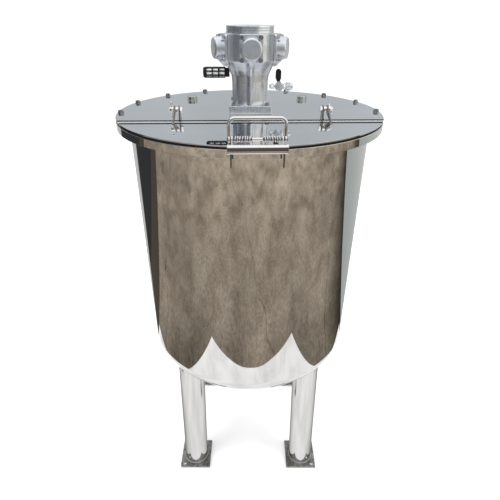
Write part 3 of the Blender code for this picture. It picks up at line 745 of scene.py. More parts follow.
def even_normals(mesh, sharp):
    """Shade smoothly up to an angle, and let the larger faces lead so that flat areas stay flat."""
    around = [[] for _ in mesh.vertices]
    for face in mesh.polygons:
        entry = (face.normal.copy(), face.area)
        for vertex in face.vertices:
            around[vertex].append(entry)
    limit = math.cos(math.radians(sharp))
    normals = []
    for face in mesh.polygons:
        own = face.normal.copy()
        for vertex in face.vertices:
            total = own * 0.0
            for normal, area in around[vertex]:
                if normal.dot(own) > limit:
                    total += normal * area
            normals.append(total.normalized())
    mesh.shade_smooth()
    mesh.set_sharp_from_angle(angle=math.radians(sharp))
    mesh.normals_split_custom_set(normals)


def settle_mesh(name, mesh, body, nodes=(), sharp=34, place=None):
    """Place a mesh as a piece that rides on a body and stands for CAD nodes."""
    even_normals(mesh, sharp)
    piece = bpy.data.objects.new(name, mesh)
    bpy.context.scene.collection.objects.link(piece)
    if place:
        piece.matrix_world = place
    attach(piece, body)
    if nodes:
        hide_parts(*nodes)


# Vessel

INSIDE = Vector((0.0, 0.0, 0.85))  # a point inside the vessel, which its inner faces look at
KNUCKLE_STEPS, CROWN_STEPS = 14, 26
FERRULE_STEP = 0.0065  # from the edge of the outlet's flange in to its pipe
PIPE_WALL = 0.003
RIM_THICK = 0.004


def dish_curve(sizes):
    """Distance of the knuckle's centre, reach between both centres, and rise of the crown's centre."""
    knuckle_x = SHELL_RADIUS - sizes.knuckle_radius
    reach = sizes.crown_radius - sizes.knuckle_radius
    return knuckle_x, reach, math.sqrt(reach ** 2 - knuckle_x ** 2)


def dish_profile(sizes, inset, hole):
    """Dished end from its rim to its hole, moved in by the inset."""
    knuckle_x, _, rise = dish_curve(sizes)
    meet = math.degrees(math.atan2(rise, knuckle_x))
    crown = sizes.crown_radius - inset
    last = -math.degrees(math.acos(hole / crown))
    points = arc((knuckle_x, DISH_HIGH.z), sizes.knuckle_radius - inset, 0, -meet, KNUCKLE_STEPS)
    return points + arc((0.0, DISH_HIGH.z + rise), crown, -meet, last, CROWN_STEPS)[1:]


def dish_height(sizes, radius):
    """Height of the dish's outside at a distance from the axis."""
    knuckle_x, reach, rise = dish_curve(sizes)
    if radius > knuckle_x * sizes.crown_radius / reach:
        return DISH_HIGH.z - math.sqrt(max(0.0, sizes.knuckle_radius ** 2 - (radius - knuckle_x) ** 2))
    return DISH_HIGH.z + rise - math.sqrt(sizes.crown_radius ** 2 - radius ** 2)


def settle_sheet(name, profile, node):
    """Make a turned sheet that is polished outside and satin inside, the inside painted lighter against its
    shade.
    """
    bm = revolve(bmesh.new(), profile, ROUND, closed=True)
    bmesh.ops.recalc_face_normals(bm, faces=bm.faces)
    bm.normal_update()
    for face in bm.faces:
        if face.normal.dot(INSIDE - face.calc_center_median()) > 0.02:
            face.material_index = 1
    settle(name, bm, "tank", ("mirror steel", "inside steel"), [node])


def settle_weld(name, path, radius):
    """Make a closed weld bead."""
    settle(name, bead(bmesh.new(), path, radius, closed=True), "tank", ("weld",))


class TANK_OT_vessel(bpy.types.Operator):
    """Make the rolled wall, the dished bottom, the rim, the gasket and the outlet"""

    bl_idname = "tank.vessel"
    bl_label = "Vessel"

    def execute(self, context):
        sizes = context.scene.tank_sizes
        inner = SHELL_RADIUS - sizes.sheet
        heights = [DISH_HIGH.z + (WALL_HIGH.z - DISH_HIGH.z) * i / 6 for i in range(7)]
        profile = [(SHELL_RADIUS, height) for height in heights]
        settle_sheet("tank_wall", profile + [(inner, height) for height in heights[::-1]], "shell_wall")

        flange = -OUTLET_LOW.y
        hole = flange - FERRULE_STEP
        profile = dish_profile(sizes, 0.0, hole) + dish_profile(sizes, sizes.sheet, hole)[::-1]
        settle_sheet("tank_dish", profile, "bottom_dish")
        self.make_rim(sizes)

        low, high, outer = GASKET_LOW.z - 0.0002, GASKET_HIGH.z + 0.0002, GASKET_HIGH.x
        profile = filleted([(inner, low), (outer, low), (outer, high), (inner, high)], 0.0013, 4)
        settle("gasket_ring", revolve(bmesh.new(), profile, ROUND, closed=True), "tank", ("rubber",),
               ["lid_gasket"], sharp=60)
        self.make_outlet(sizes, flange, hole)
        return {"FINISHED"}

    def make_rim(self, sizes):
        """Flat ring round the shell's top with its skirt turned down."""
        joint, skirt, plate = SHELL_RADIUS - 0.0002, LID_RADIUS - RIM_THICK, RIM_HIGH.z - RIM_THICK
        corner = [(joint, RIM_HIGH.z), (LID_RADIUS, RIM_HIGH.z), (LID_RADIUS, RIM_LOW.z),
                  (skirt, RIM_LOW.z), (skirt, plate), (joint, plate)]
        profile = filleted(corner, [0, 0.0012, 0.0010, 0.0010, 0.0025, 0], 6)
        settle("tank_rim", revolve(bmesh.new(), profile, ROUND, closed=True), "tank", ("mirror steel",),
               ["rim_ring"], sharp=45)
        settle_weld("rim_weld", circle(SHELL_RADIUS, plate - 0.0004), sizes.bead)

    def make_outlet(self, sizes, flange, hole):
        """Pipe with a clamp flange, which has a groove for its seal."""
        foot, top, bore = OUTLET_LOW.z, OUTLET_HIGH.z + 0.0003, hole - PIPE_WALL
        groove_in, groove_out, groove_top = flange - 0.006, flange - 0.0035, foot + 0.0014
        corner = [(bore, foot), (groove_in, foot), (groove_in, groove_top), (groove_out, groove_top),
                  (groove_out, foot), (flange, foot), (flange, foot + 0.003), (hole, foot + 0.0065),
                  (hole, top), (bore, top)]
        radii = [0.0004, 0.0003, 0.0005, 0.0005, 0.0003, 0.0006, 0.0006, 0.002, 0, 0]
        settle("outlet_pipe", revolve(bmesh.new(), filleted(corner, radii, 3), 96, closed=True), "tank",
               ("satin steel",), ["outlet_ferrule"])
        settle_weld("outlet_weld", circle(hole, dish_height(sizes, hole) - 0.0008, 60), sizes.bead)


# Lid


def lid_outline(front, rear, steps):
    """Part of the round lid between two lines across it, where None is its edge."""
    near, far = [y if y is None else math.degrees(math.asin(y / LID_RADIUS)) for y in (front, rear)]
    if rear is None:
        return arc((0, 0), LID_RADIUS, near, 180 - near, steps)
    if front is None:
        return arc((0, 0), LID_RADIUS, 180 - far, 360 + far, steps)
    return (arc((0, 0), LID_RADIUS, near, far, steps)
            + arc((0, 0), LID_RADIUS, 180 - far, 180 - near, steps))


class TANK_OT_lids(bpy.types.Operator):
    """Make the fixed rear lid, the bar across the opening and the front lid that lifts"""

    bl_idname = "tank.lids"
    bl_label = "Lids"

    def execute(self, context):
        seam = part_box("lid_front")[1].y
        self.make_sheet("rear_lid_sheet", lid_outline(LID_LOW.y, None, 190), "tank", "lid_rear")
        self.make_sheet("seam_bar_sheet", lid_outline(SEAM_LOW.y, SEAM_HIGH.y, 8), "tank", "seam_bar",
                        "bar steel", 0.0009, 3)
        self.make_sheet("front_lid_sheet", lid_outline(None, seam, 120), "front_lid", "lid_front")
        bm = bmesh.new()
        depth = LID_TOP - LID_LOW.z + context.scene.tank_sizes.lip
        for near, far in ((seam + 0.0004, SEAM_LOW.y - SUNK), (SEAM_HIGH.y + SUNK, LID_LOW.y - SUNK)):
            lip = slab(lid_outline(near, far, 2), LID_LOW.z, depth)
            add_shape(bm, soften(lip, 0.0005))
        settle("seam_lips", bm, "tank", ("rubber",))
        return {"FINISHED"}

    def make_sheet(self, name, outline, body, node, look="lid steel", edge=0.0006, segments=2):
        """Flat part of the lid with its edges just broken."""
        bm = soften(slab(outline, LID_LOW.z, LID_TOP - LID_LOW.z), edge, segments)
        settle(name, bm, body, (look,), [node])


# Washer, stud and hidden head of a lid bolt. Each nut has stopped at another angle.
LID_WASHER, LID_STUD, STUD_OUT = 0.0076, 0.0037, 0.0009
BOLT_ACROSS, BOLT_HEAD = 0.0110, 0.0042
NUT_TWIST = 3.7


class TANK_OT_lid_bolts(bpy.types.Operator):
    """Make the nuts round the fixed lid and the bolt heads under the rim"""

    bl_idname = "tank.lid_bolts"
    bl_label = "Lid bolts"

    def execute(self, context):
        sizes = context.scene.tank_sizes
        first = math.pi / 2 - sizes.bolt_pitch * (sizes.lid_bolts - 1) / 2
        bm, under = bmesh.new(), bmesh.new()
        for i in range(sizes.lid_bolts):
            angle = first + i * sizes.bolt_pitch
            x, y = sizes.bolt_circle * math.cos(angle), sizes.bolt_circle * math.sin(angle)
            twist = Matrix.Rotation(angle * NUT_TWIST, 4, "Z")
            hex_bolt(bm, facing((x, y, LID_TOP - SUNK), UP) @ twist, sizes.nut_across,
                     sizes.nut_height, LID_WASHER, LID_STUD, STUD_OUT)
            plate = RIM_HIGH.z - RIM_THICK + SUNK
            hex_bolt(under, facing((x, y, plate), DOWN) @ twist, BOLT_ACROSS, BOLT_HEAD)
        settle("lid_nuts", bm, "tank", ("plated steel",))
        settle("lid_bolt_heads", under, "tank", ("plated steel",))
        return {"FINISHED"}


# Shouldered hexagon bolt of a hinge, up to its thread: radius, way from the head, number of flats
HINGE_BOLT = [(0, 0), (0.0061, 0), (0.0065, 0.0005, 6), (0.0065, 0.0054, 6), (0.0040, 0.0055),
              (0.0040, 0.0090), (0.0060, 0.0091), (0.0060, 0.0157), (0.0039, 0.0158), (0.0039, 0.0195)]
THREAD_START, THREAD_PITCH, THREAD_OUT, THREAD_IN = 0.0198, 0.00125, 0.0040, 0.0033
WING_THICK = 0.0028
WING = [(0.0045, -0.0045), (0.0110, -0.0050), (0.0160, -0.0066), (0.0186, -0.0030),
        (0.0182, 0.0036), (0.0150, 0.0064), (0.0105, 0.0040), (0.0045, 0.0045)]


class TANK_OT_hinges(bpy.types.Operator):
    """Make the ears, arms, bolts and butterfly nuts of the two hinges"""

    bl_idname = "tank.hinges"
    bl_label = "Hinges"

    def execute(self, context):
        sizes = context.scene.tank_sizes
        for label, side in SIDES:
            for part, body in (("ear", "tank"), ("arm", "front_lid")):
                node = "hinge_%s_%s" % (part, label)
                low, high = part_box(node)
                bm = copied(node, 0.0006, 2)
                ends = low.y + 0.002, self.base_end(node)
                for x in (low.x, high.x):
                    bead(bm, [(x, y, LID_TOP + 0.0002) for y in ends], 0.0013, material=1, ripple=0.002)
                settle("%s_plate_%s" % (part, label), bm, body, ("hinge steel", "weld"), [node])
            self.make_bolt(label, side)
            self.make_wing_nut(label, side, sizes.left_wing if side < 0 else sizes.right_wing)
        return {"FINISHED"}

    def base_end(self, node):
        """Rear end of a plate's foot on the lid."""
        mesh = frame["nodes"][node].data
        return max(v.co.y for v in mesh.vertices if v.co.z < LID_TOP + 0.002) - 0.002

    def make_bolt(self, label, side):
        """Shouldered hexagon bolt with its thread through the butterfly nut."""
        low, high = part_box("hinge_bolt_" + label)
        inner, outer = sorted((abs(low.x), abs(high.x)))
        reach = outer - inner
        place = facing((side * inner, HINGE.y, HINGE.z), (side, 0, 0))
        profile = list(HINGE_BOLT)
        for i in range(int((reach - THREAD_START - 0.0007) / THREAD_PITCH)):
            start = THREAD_START + i * THREAD_PITCH
            profile += [(THREAD_OUT, start), (THREAD_IN, start + THREAD_PITCH / 2)]
        profile += [(0.0034, reach), (0, reach)]
        settle("hinge_screw_" + label, revolve(bmesh.new(), profile, 48, place=place), "tank",
               ("bright steel",), ["hinge_bolt_" + label])

    def make_wing_nut(self, label, side, tilt):
        """Butterfly nut: a tapered hub with two rounded wings."""
        low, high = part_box("wing_nut_" + label)
        inner = min(abs(low.x), abs(high.x))
        width = high.x - low.x
        place = facing((side * inner, HINGE.y, HINGE.z), (side, 0, 0))
        hub = [(0.0040, 0.0002), (0.0070, 0.0002), (0.0072, 0.0012), (0.0064, 0.0045),
               (0.0058, width - 0.0008), (0.0052, width), (0.0040, width)]
        bm = revolve(bmesh.new(), hub, 40, closed=True, place=place)
        for angle in (tilt, tilt + math.pi):
            along = Vector((math.cos(angle), math.sin(angle)))
            across = Vector((-along.y, along.x))
            outline = [along * a + across * b for a, b in filleted(WING, 0.003, 4)]
            outline = [(HINGE.y + point.x, HINGE.z + point.y) for point in outline]
            start = side * (inner + width / 2) - WING_THICK / 2
            wing = slab(outline, start, WING_THICK, "YZ")
            add_shape(bm, soften(wing, 0.0010, 3, 60))
        settle("butterfly_nut_" + label, bm, "tank", ("bright steel",), ["wing_nut_" + label])


# Half width of the handle's bar and its swell, where the ends flare out
BAR_DEPTH, BAR_TALL = 0.0140, 0.0190
BAR_STATIONS = [(0.6, 0.925), (0.925, 0.94), (0.945, 0.985), (0.965, 1.0), (0.992, 0.985), (1.0, 0.93)]
EAR_X, EAR_RADIUS, EAR_THICK = 0.0475, 0.0065, 0.0025
PRONG_X, PRONG_RADIUS = 0.050, 0.0018
EYE_RADIUS, EYE_WIRE = 0.0052, 0.0021
COIL_RADIUS, COIL_STEPS = 0.0065, 18


class TANK_OT_handle(bpy.types.Operator):
    """Make the sprung lifting handle on the front lid"""

    bl_idname = "tank.handle"
    bl_label = "Handle"

    def execute(self, context):
        sizes = context.scene.tank_sizes
        self.make_bracket()
        self.make_pin()
        for label, side in SIDES:
            self.make_spring(sizes, label, side)
        self.make_bail(sizes)
        return {"FINISHED"}

    def make_bracket(self):
        """Folded bar with flared ends, the tongue under the springs, two ears and two prongs."""
        low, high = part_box("handle_bracket")
        half, middle_y = high.x, low.y + BAR_DEPTH / 2
        top = LID_TOP + 0.0057
        bottom = top - BAR_TALL
        bm = bmesh.new()
        section = filleted([(-0.5, -0.5), (0.5, -0.5), (0.5, 0.5), (-0.5, 0.5)], 0.47, 8)
        stations = [(-share, swell) for share, swell in BAR_STATIONS[::-1]] + [(0.0, 0.925)] + BAR_STATIONS
        rings = []
        for share, swell in stations:
            deep, tall = BAR_DEPTH * swell, BAR_TALL * swell
            rings.append([bm.verts.new((share * half, middle_y + a * deep, (top + bottom) / 2 + b * tall))
                          for a, b in section])
        loft(bm, rings)
        side_x, rear = half - 0.002, HANDLE.y + 0.024
        corner = [(-side_x, middle_y), (side_x, middle_y), (side_x, rear), (-side_x, rear)]
        tongue = slab(filleted(corner, [0, 0, 0.004, 0.004], 5), LID_TOP + SUNK, 0.0030)
        add_shape(bm, soften(tongue, 0.0006, 2))
        foot = LID_TOP + 0.0015
        outline = [(HANDLE.y + 0.010, foot), (HANDLE.y + EAR_RADIUS, HANDLE.z)]
        outline += arc((HANDLE.y, HANDLE.z), EAR_RADIUS, 0, 180, 14)[1:] + [(HANDLE.y - 0.010, foot)]
        for x in (-EAR_X, EAR_X):
            ear = slab(outline, x - EAR_THICK / 2, EAR_THICK, "YZ")
            add_shape(bm, soften(ear, 0.0005, 2, 50))
        settle("handle_plate", bm, "front_lid", ("bright steel",), ["handle_bracket"])
        bm, start = bmesh.new(), bottom + 0.002
        for x in (-PRONG_X, PRONG_X):
            points = [(x, middle_y, start - i * (start - low.z) / 12) for i in range(13)]
            tube(bm, points, blunt(PRONG_RADIUS, 0.05), sides=12)
        settle("handle_prongs", bm, "front_lid", ("plated steel",))

    def make_pin(self):
        """Round pin through the ears, with a head at each end and a bright collar in its middle; its dark
        plated parts inside the springs are painted shade between the coils.
        """
        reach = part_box("handle_pin")[1].x
        half = [(0, 0), (0.0036, 0), (0.0042, 0.0005), (0.0042, 0.0012), (0.0030, 0.0013)]
        profile = half + [(radius, 2 * reach - way) for radius, way in half[::-1]]
        place = facing((-reach, HANDLE.y, HANDLE.z), OUT)
        # Dark plated pin where the springs sit: painted shade seen through the coil gaps.
        bm = revolve(bmesh.new(), profile, 32, place=place)
        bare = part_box("handle_spring_right")[0].x - 0.0008
        collar = [(0.0030, reach - bare), (0.0033, reach - bare + 0.0003),
                  (0.0033, reach + bare - 0.0003), (0.0030, reach + bare)]
        revolve(bm, collar, 32, closed=True, place=place, material=1)
        settle("handle_axle", bm, "front_lid", ("plated steel", "bright steel"), ["handle_pin"])

    def make_spring(self, sizes, label, side):
        """Coil spring with close end turns and a leg down to the tongue."""
        low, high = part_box("handle_spring_" + label)
        inner, outer = min(abs(low.x), abs(high.x)), max(abs(low.x), abs(high.x))
        wire_radius = sizes.spring_wire / 2
        start, coil = inner + wire_radius, COIL_RADIUS - wire_radius
        steps = int((outer - inner) / sizes.spring_pitch) * COIL_STEPS
        path = [(side * start, HANDLE.y + coil + 0.006, LID_TOP + 0.0045),
                (side * start, HANDLE.y + coil + 0.001, LID_TOP + 0.0075)]
        for i in range(steps + 1):
            angle, share = math.tau * i / COIL_STEPS, i / steps
            even = share + 0.012 * math.sin(math.tau * share * 2)
            x = start + (outer - inner - 2 * wire_radius) * even
            path.append((side * x, HANDLE.y + coil * math.cos(angle), HANDLE.z + coil * math.sin(angle)))
        settle("coil_spring_" + label, tube(bmesh.new(), path, wire_radius, sides=10), "front_lid",
               ("bright steel",), ["handle_spring_" + label])

    def make_bail(self, sizes):
        """Bent wire with an eye wrapped round the pin at each end."""
        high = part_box("handle_bail")[1]
        radius, bend = sizes.bail_wire, sizes.bail_bend
        half, top = high.x - radius, high.z - radius
        path = [(-half, HANDLE.z + 0.004)]
        path += arc((-half + bend, top - bend), bend, 180, 90, 16)
        path += arc((half - bend, top - bend), bend, 90, 0, 16)
        path += [(half, HANDLE.z + 0.004)]
        bm = tube(bmesh.new(), [(x, HANDLE.y, z) for x, z in path], radius, sides=24)
        for side in (-1, 1):
            eye = arc((HANDLE.y, HANDLE.z), EYE_RADIUS, 0, 351, 39)
            tube(bm, [(side * half, y, z) for y, z in eye], EYE_WIRE, sides=14, closed=True)
        settle("handle_wire", bm, "handle", ("bright steel",), ["handle_bail"])


# Air motor


# The column's levels: height over the lid or its flange, radius, and how far its five ribs stand out
COLUMN_FOOT = [(-0.002, 0.0435, 0.0015), (0.002, 0.0415, 0.003), (0.007, 0.0395, 0.0058)]
COLUMN_NECK = [(0.070, 0.0378, 0.0078), (0.086, 0.0385, 0.0090), (0.096, 0.0420, 0.0105),
               (0.106, 0.0480, 0.0095)]
COLUMN_TOP = (0.0550, 0.0040)
COLUMN_SIDES = 200
FLANGE_THICK = 0.0160
FLANGE_SCREW = 0.041  # distance of the flange's screws from its middle, both ways


class TANK_OT_motor_stand(bpy.types.Operator):
    """Make the ribbed column on its square flange"""

    bl_idname = "tank.motor_stand"
    bl_label = "Motor stand"

    def execute(self, context):
        low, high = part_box("motor_column")
        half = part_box("motor_pad")[1].x - 0.0005
        give_finish("motor_pad", "bright steel")
        bm = slab(filleted(square(half, half), 0.004, 4), low.z, FLANGE_THICK)
        soften(bm, 0.0014, 3, 50)
        base = low.z + FLANGE_THICK
        levels = [(base + rise, radius, rib) for rise, radius, rib in COLUMN_FOOT]
        levels += [(LID_TOP + rise, radius, rib) for rise, radius, rib in COLUMN_NECK]
        levels.append((high.z,) + COLUMN_TOP)
        steps = [[a + (b - a) * k / 4 for a, b in zip(lower, upper)]
                 for lower, upper in zip(levels, levels[1:]) for k in range(4)]
        column, rings = bmesh.new(), []
        for height, radius, rib in steps + [levels[-1]]:
            def reach(i):
                turned = math.tau * i / COLUMN_SIDES + math.pi / 2
                return radius + rib * max(0.0, math.cos(HEADS * turned)) ** 4
            rings.append(corner_ring(column, reach, height, COLUMN_SIDES))
        add_shape(bm, loft(column, rings))
        settle("column_casting", bm, "tank", ("casting",), ["motor_column"], sharp=40)
        bm = bmesh.new()
        for x, y in square(FLANGE_SCREW, FLANGE_SCREW):
            hex_bolt(bm, facing((x, y, base - SUNK), UP), 0.0090, 0.0052, washer=0.0060)
        settle("flange_screws", bm, "tank", ("plated steel",))
        return {"FINISHED"}


BLOCK_HALF, DRUM_RADIUS = 0.0260, 0.0580
CAP_GROOVES, CAP_GROOVE_DEPTH = (0.0050, 0.0100), 0.0016
CAP_SCREW_CIRCLE = 0.045


class TANK_OT_crankcase(bpy.types.Operator):
    """Make the drum with its five cylinder blocks and the round cap"""

    bl_idname = "tank.crankcase"
    bl_label = "Crankcase"

    def execute(self, context):
        low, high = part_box("crankcase")
        half, reach = BLOCK_HALF, -low.y
        edge = math.degrees(math.asin(half / DRUM_RADIUS))
        outline, radii = [], []
        for middle in HEAD_TURNS:
            spin = Matrix.Rotation(middle, 2)
            outline += [tuple(spin @ Vector((reach, -half))), tuple(spin @ Vector((reach, half)))]
            start = math.degrees(middle) + edge
            outline += arc((0, 0), DRUM_RADIUS, start, start + HEAD_PITCH - 2 * edge, 10)
            radii += [0.003, 0.003, 0.0025] + [0] * 9 + [0.0025]
        bm = slab(filleted(outline, radii, 3), low.z, high.z - low.z)
        soften(bm, 0.0030, 4, 50)
        settle("drum_casting", bm, "tank", ("casting",), ["crankcase"], sharp=40)
        self.make_cap()
        return {"FINISHED"}

    def make_cap(self):
        """Round cap with two grooves, and the screws in its top."""
        low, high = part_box("motor_cap")
        rim, foot = high.x, low.z - 0.0006
        profile = [(0, foot), (rim - 0.0015, foot), (rim - 0.0015, low.z + 0.0010), (rim, low.z + 0.0012)]
        for height in CAP_GROOVES:
            start, deep = low.z + height, rim - CAP_GROOVE_DEPTH
            profile += [(rim, start), (deep, start + 0.0007), (deep, start + 0.0014), (rim, start + 0.0021)]
        profile += [(rim, high.z - 0.0012), (rim - 0.0014, high.z), (0.030, high.z),
                    (0.0285, high.z - 0.0008), (0, high.z - 0.0008)]
        settle("cap_casting", revolve(bmesh.new(), profile, 128), "tank", ("casting",), ["motor_cap"])
        bm = bmesh.new()
        for turned in HEAD_TURNS:
            spot = turned + math.radians(HEAD_PITCH / 2)
            x, y = CAP_SCREW_CIRCLE * math.cos(spot), CAP_SCREW_CIRCLE * math.sin(spot)
            socket_screw(bm, facing((x, y, high.z - 0.0025), UP), 0.0030, 0.0024)
        settle("cap_screws", bm, "tank", ("plated steel",))


# Air duct under each cylinder head, seen from outside, and the fillets of its corners
DUCT = [(-0.0185, -0.0130), (0.0185, -0.0130), (0.0130, -0.0215), (0.0068, -0.0290), (0.0052, -0.0330),
        (0.0046, -0.0405), (-0.0046, -0.0405), (-0.0052, -0.0330), (-0.0068, -0.0290), (-0.0130, -0.0215)]
DUCT_FILLETS = [0, 0, 0.004, 0.003, 0.003, 0, 0, 0.003, 0.003, 0.004]
DUCT_BACK, DUCT_BEND = 0.0585, -0.0170
HEAD_BACK, HEAD_THICK, COVER_RADIUS = 0.0643, 0.0060, 0.0240
HEAD_SCREWS = (0.0218, 0.0232)


class TANK_OT_cylinder_heads(bpy.types.Operator):
    """Make the five cylinder heads, their air ducts and their screws"""

    bl_idname = "tank.cylinder_heads"
    bl_label = "Cylinder heads"

    def execute(self, context):
        sizes = context.scene.tank_sizes
        low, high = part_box("cylinder_head_1")
        reach, face = -low.y, HEAD_BACK + HEAD_THICK
        middle = (low.z + high.z) / 2
        flange = filleted(square(high.x, high.z - middle), 0.0055, 5)
        bm = soften(slab(flange, HEAD_BACK, HEAD_THICK, "YZ"), 0.0012, 3, 50)
        cover, ends = COVER_RADIUS, reach - face
        profile = [(0, -0.001), (cover + 0.0022, -0.001), (cover + 0.0008, 0.0012), (cover, 0.0040),
                   (cover - 0.0004, ends - 0.0042), (cover - 0.0011, ends - 0.0022),
                   (cover - 0.0028, ends - 0.0007), (cover - 0.0052, ends), (0.0, ends)]
        revolve(bm, profile, 72, place=facing((face, 0, 0), OUT))
        self.add_duct(bm, face, reach - 0.0030)
        screws = bmesh.new()
        for across, up in square(*HEAD_SCREWS):
            hex_bolt(screws, facing((face - SUNK, across, up), OUT), sizes.screw_across, 0.0042,
                     washer=0.0050)
        casting = mesh_of("head_casting", bm, ("casting",))
        plated_screws = mesh_of("head_screws", screws, ("plated steel",))
        for i, angle in enumerate(HEAD_TURNS, 1):
            place = Matrix.Translation((0, 0, middle)) @ Matrix.Rotation(angle, 4, "Z")
            settle_mesh("head_casting_%d" % i, casting, "tank", ["cylinder_head_%d" % i],
                        place=place)
            settle_mesh("head_screws_%d" % i, plated_screws, "tank", place=place)
        return {"FINISHED"}

    def add_duct(self, bm, face, front):
        """Duct that leans in towards the column as it comes down."""
        outline = filleted(DUCT, DUCT_FILLETS, 4)
        duct = slab(outline, DUCT_BACK, front - DUCT_BACK, "YZ")
        for vertex in duct.verts:
            lean = max(0.0, DUCT_BEND - vertex.co.z)
            vertex.co.x -= lean * (1.02 if vertex.co.x > face else 0.25)
        add_shape(bm, soften(duct, 0.0024, 3, 40))


CAGE_COLLAR, CAGE_CAP, CAGE_BAR, CAGE_THICK = 0.0125, 0.0085, 0.0032, 0.0018
CAGE_TURN = math.radians(11)
CAGE_STEPS = 6  # steps to a window and the bar beside it, of which the bar takes two


class TANK_OT_silencer(bpy.types.Operator):
    """Make the exhaust silencer: a black cage round a pale filter"""

    bl_idname = "tank.silencer"
    bl_label = "Silencer"

    def execute(self, context):
        low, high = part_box("silencer")
        root = high.x + 0.0010
        place = facing((root, 0, (low.z + high.z) / 2), (-1, 0, 0))
        radius, reach = (high.z - low.z) / 2, root - low.x
        collar, cap = CAGE_COLLAR, reach - CAGE_CAP
        window = (cap - collar - 2 * CAGE_BAR) / 3
        stops = [collar + k * (window + CAGE_BAR) + more for k in range(3) for more in (0, window)]
        sides = context.scene.tank_sizes.windows * CAGE_STEPS
        bm = bmesh.new()
        rows = [corner_ring(bm, lambda i: radius, stop, sides, place, CAGE_TURN) for stop in stops]
        for k, (lower, upper) in enumerate(zip(rows, rows[1:])):
            for i in range(sides):
                if k % 2 == 1 or i % CAGE_STEPS < 2:
                    j = (i + 1) % sides
                    bm.faces.new((lower[i], lower[j], upper[j], upper[i]))
        bmesh.ops.recalc_face_normals(bm, faces=bm.faces)
        bmesh.ops.solidify(bm, geom=list(bm.faces), thickness=CAGE_THICK)
        bmesh.ops.recalc_face_normals(bm, faces=bm.faces)
        revolve(bm, [(0, 0), (0.0098, 0), (0.0105, 0.0008), (0.0105, collar - 0.0030),
                     (radius - 0.0004, collar - 0.0020), (radius, collar - 0.0012), (radius, collar),
                     (0, collar)], 48, place=place)
        revolve(bm, [(0, cap), (radius, cap), (radius, reach - 0.0046), (radius - 0.0006, reach - 0.0034),
                     (0.0108, reach - 0.0004), (0.0100, reach), (0, reach)], 48, place=place)
        settle("silencer_cage", bm, "tank", ("plastic",), ["silencer"])
        inside = radius - 0.0026
        core = revolve(bmesh.new(), [(0, collar), (inside, collar), (inside, cap), (0, cap)], 48,
                       place=place)
        settle("silencer_filter", core, "tank", ("felt",))
        return {"FINISHED"}


# Knurled ring of the coupling: radius, height, depth of its grooves
KNURL = [(0.0090, 0, 0), (0.0108, 0.0010, 0), (0.0112, 0.0014, 0.0006), (0.0112, 0.0096, 0.0006),
         (0.0108, 0.0100, 0), (0.0088, 0.0112, 0)]
LEVER_NECK = 0.0145  # where the lever's grip begins, above the valve's axis
STEM_ROOT = -0.004


class TANK_OT_air_valve(bpy.types.Operator):
    """Make the ball valve, its lever and the knurled coupling"""

    bl_idname = "tank.air_valve"
    bl_label = "Air valve"

    def execute(self, context):
        self.make_body()
        self.make_coupling()
        bm = copied("valve_lever", 0.0016, 3, 40)
        neck = VALVE.z + LEVER_NECK
        bmesh.ops.bisect_plane(bm, geom=bm.verts[:] + bm.edges[:] + bm.faces[:], plane_co=(0, 0, neck),
                               plane_no=UP)
        for face in bm.faces:
            face.material_index = int(face.calc_center_median().z < neck)
        settle("lever_grip", bm, "lever", ("plastic", "nickel"), ["valve_lever"], sharp=50)
        place = facing((VALVE.x, VALVE.y - 0.0030, VALVE.z), (0, -1, 0))
        bm = hex_bolt(bmesh.new(), place, 0.0066, 0.0026, washer=0.0042)
        settle("lever_nut", bm, "lever", ("nickel",))
        return {"FINISHED"}

    def make_body(self):
        """Round body between two hexagons, with the stem to the lever."""
        low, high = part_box("valve_body")
        centre, end = VALVE.x - low.x, high.x - low.x
        ball = [(0.0108 * math.cos(math.radians(t)), centre + 0.0105 * math.sin(math.radians(t)))
                for t in range(-64, 65, 8)]
        profile = [(0, 0), (0.0048, 0), (0.0048, 0.0040), (0.0062, 0.0046), (0.0062, 0.0050, 6),
                   (0.0062, 0.0105, 6), (0.0055, 0.0112), (0.0050, 0.0125)] + ball
        profile += [(0.0058, centre + 0.0112), (0.0068, centre + 0.0118, 6), (0.0068, end - 0.0012, 6),
                    (0.0060, end), (0, end)]
        bm = revolve(bmesh.new(), profile, 60, place=facing((low.x, 0, VALVE.z), OUT))
        reach = STEM_ROOT - VALVE.y
        stem = [(0, 0), (0.0066, 0), (0.0066, reach - 0.0075), (0.0058, reach - 0.0065),
                (0.0058, reach - 0.0040), (0.0034, reach - 0.0038), (0.0034, reach + 0.0042),
                (0.0028, reach + 0.0048), (0, reach + 0.0048)]
        revolve(bm, stem, 36, place=facing((VALVE.x, STEM_ROOT, VALVE.z), (0, -1, 0)))
        settle("valve_casting", bm, "tank", ("nickel",), ["valve_body"])

    def make_coupling(self):
        """Knurled ring with a plain sleeve, open at its end."""
        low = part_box("hose_coupling")[0]
        place = facing((low.x - 0.0003, 0, VALVE.z), OUT)
        bm, rings = bmesh.new(), []
        for radius, height, depth in KNURL:
            rings.append(corner_ring(bm, lambda i: radius - depth * (i % 3 == 0), height, 96, place))
        loft(bm, rings)
        revolve(bm, [(0, 0.0105), (0.0086, 0.0105), (0.0086, 0.0150), (0.0078, 0.0160), (0.0078, 0.0172),
                     (0.0055, 0.0173), (0.0052, 0.0140), (0, 0.0140)], 40, place=place)
        settle("coupling_nut", bm, "tank", ("nickel",), ["hose_coupling"], sharp=25)


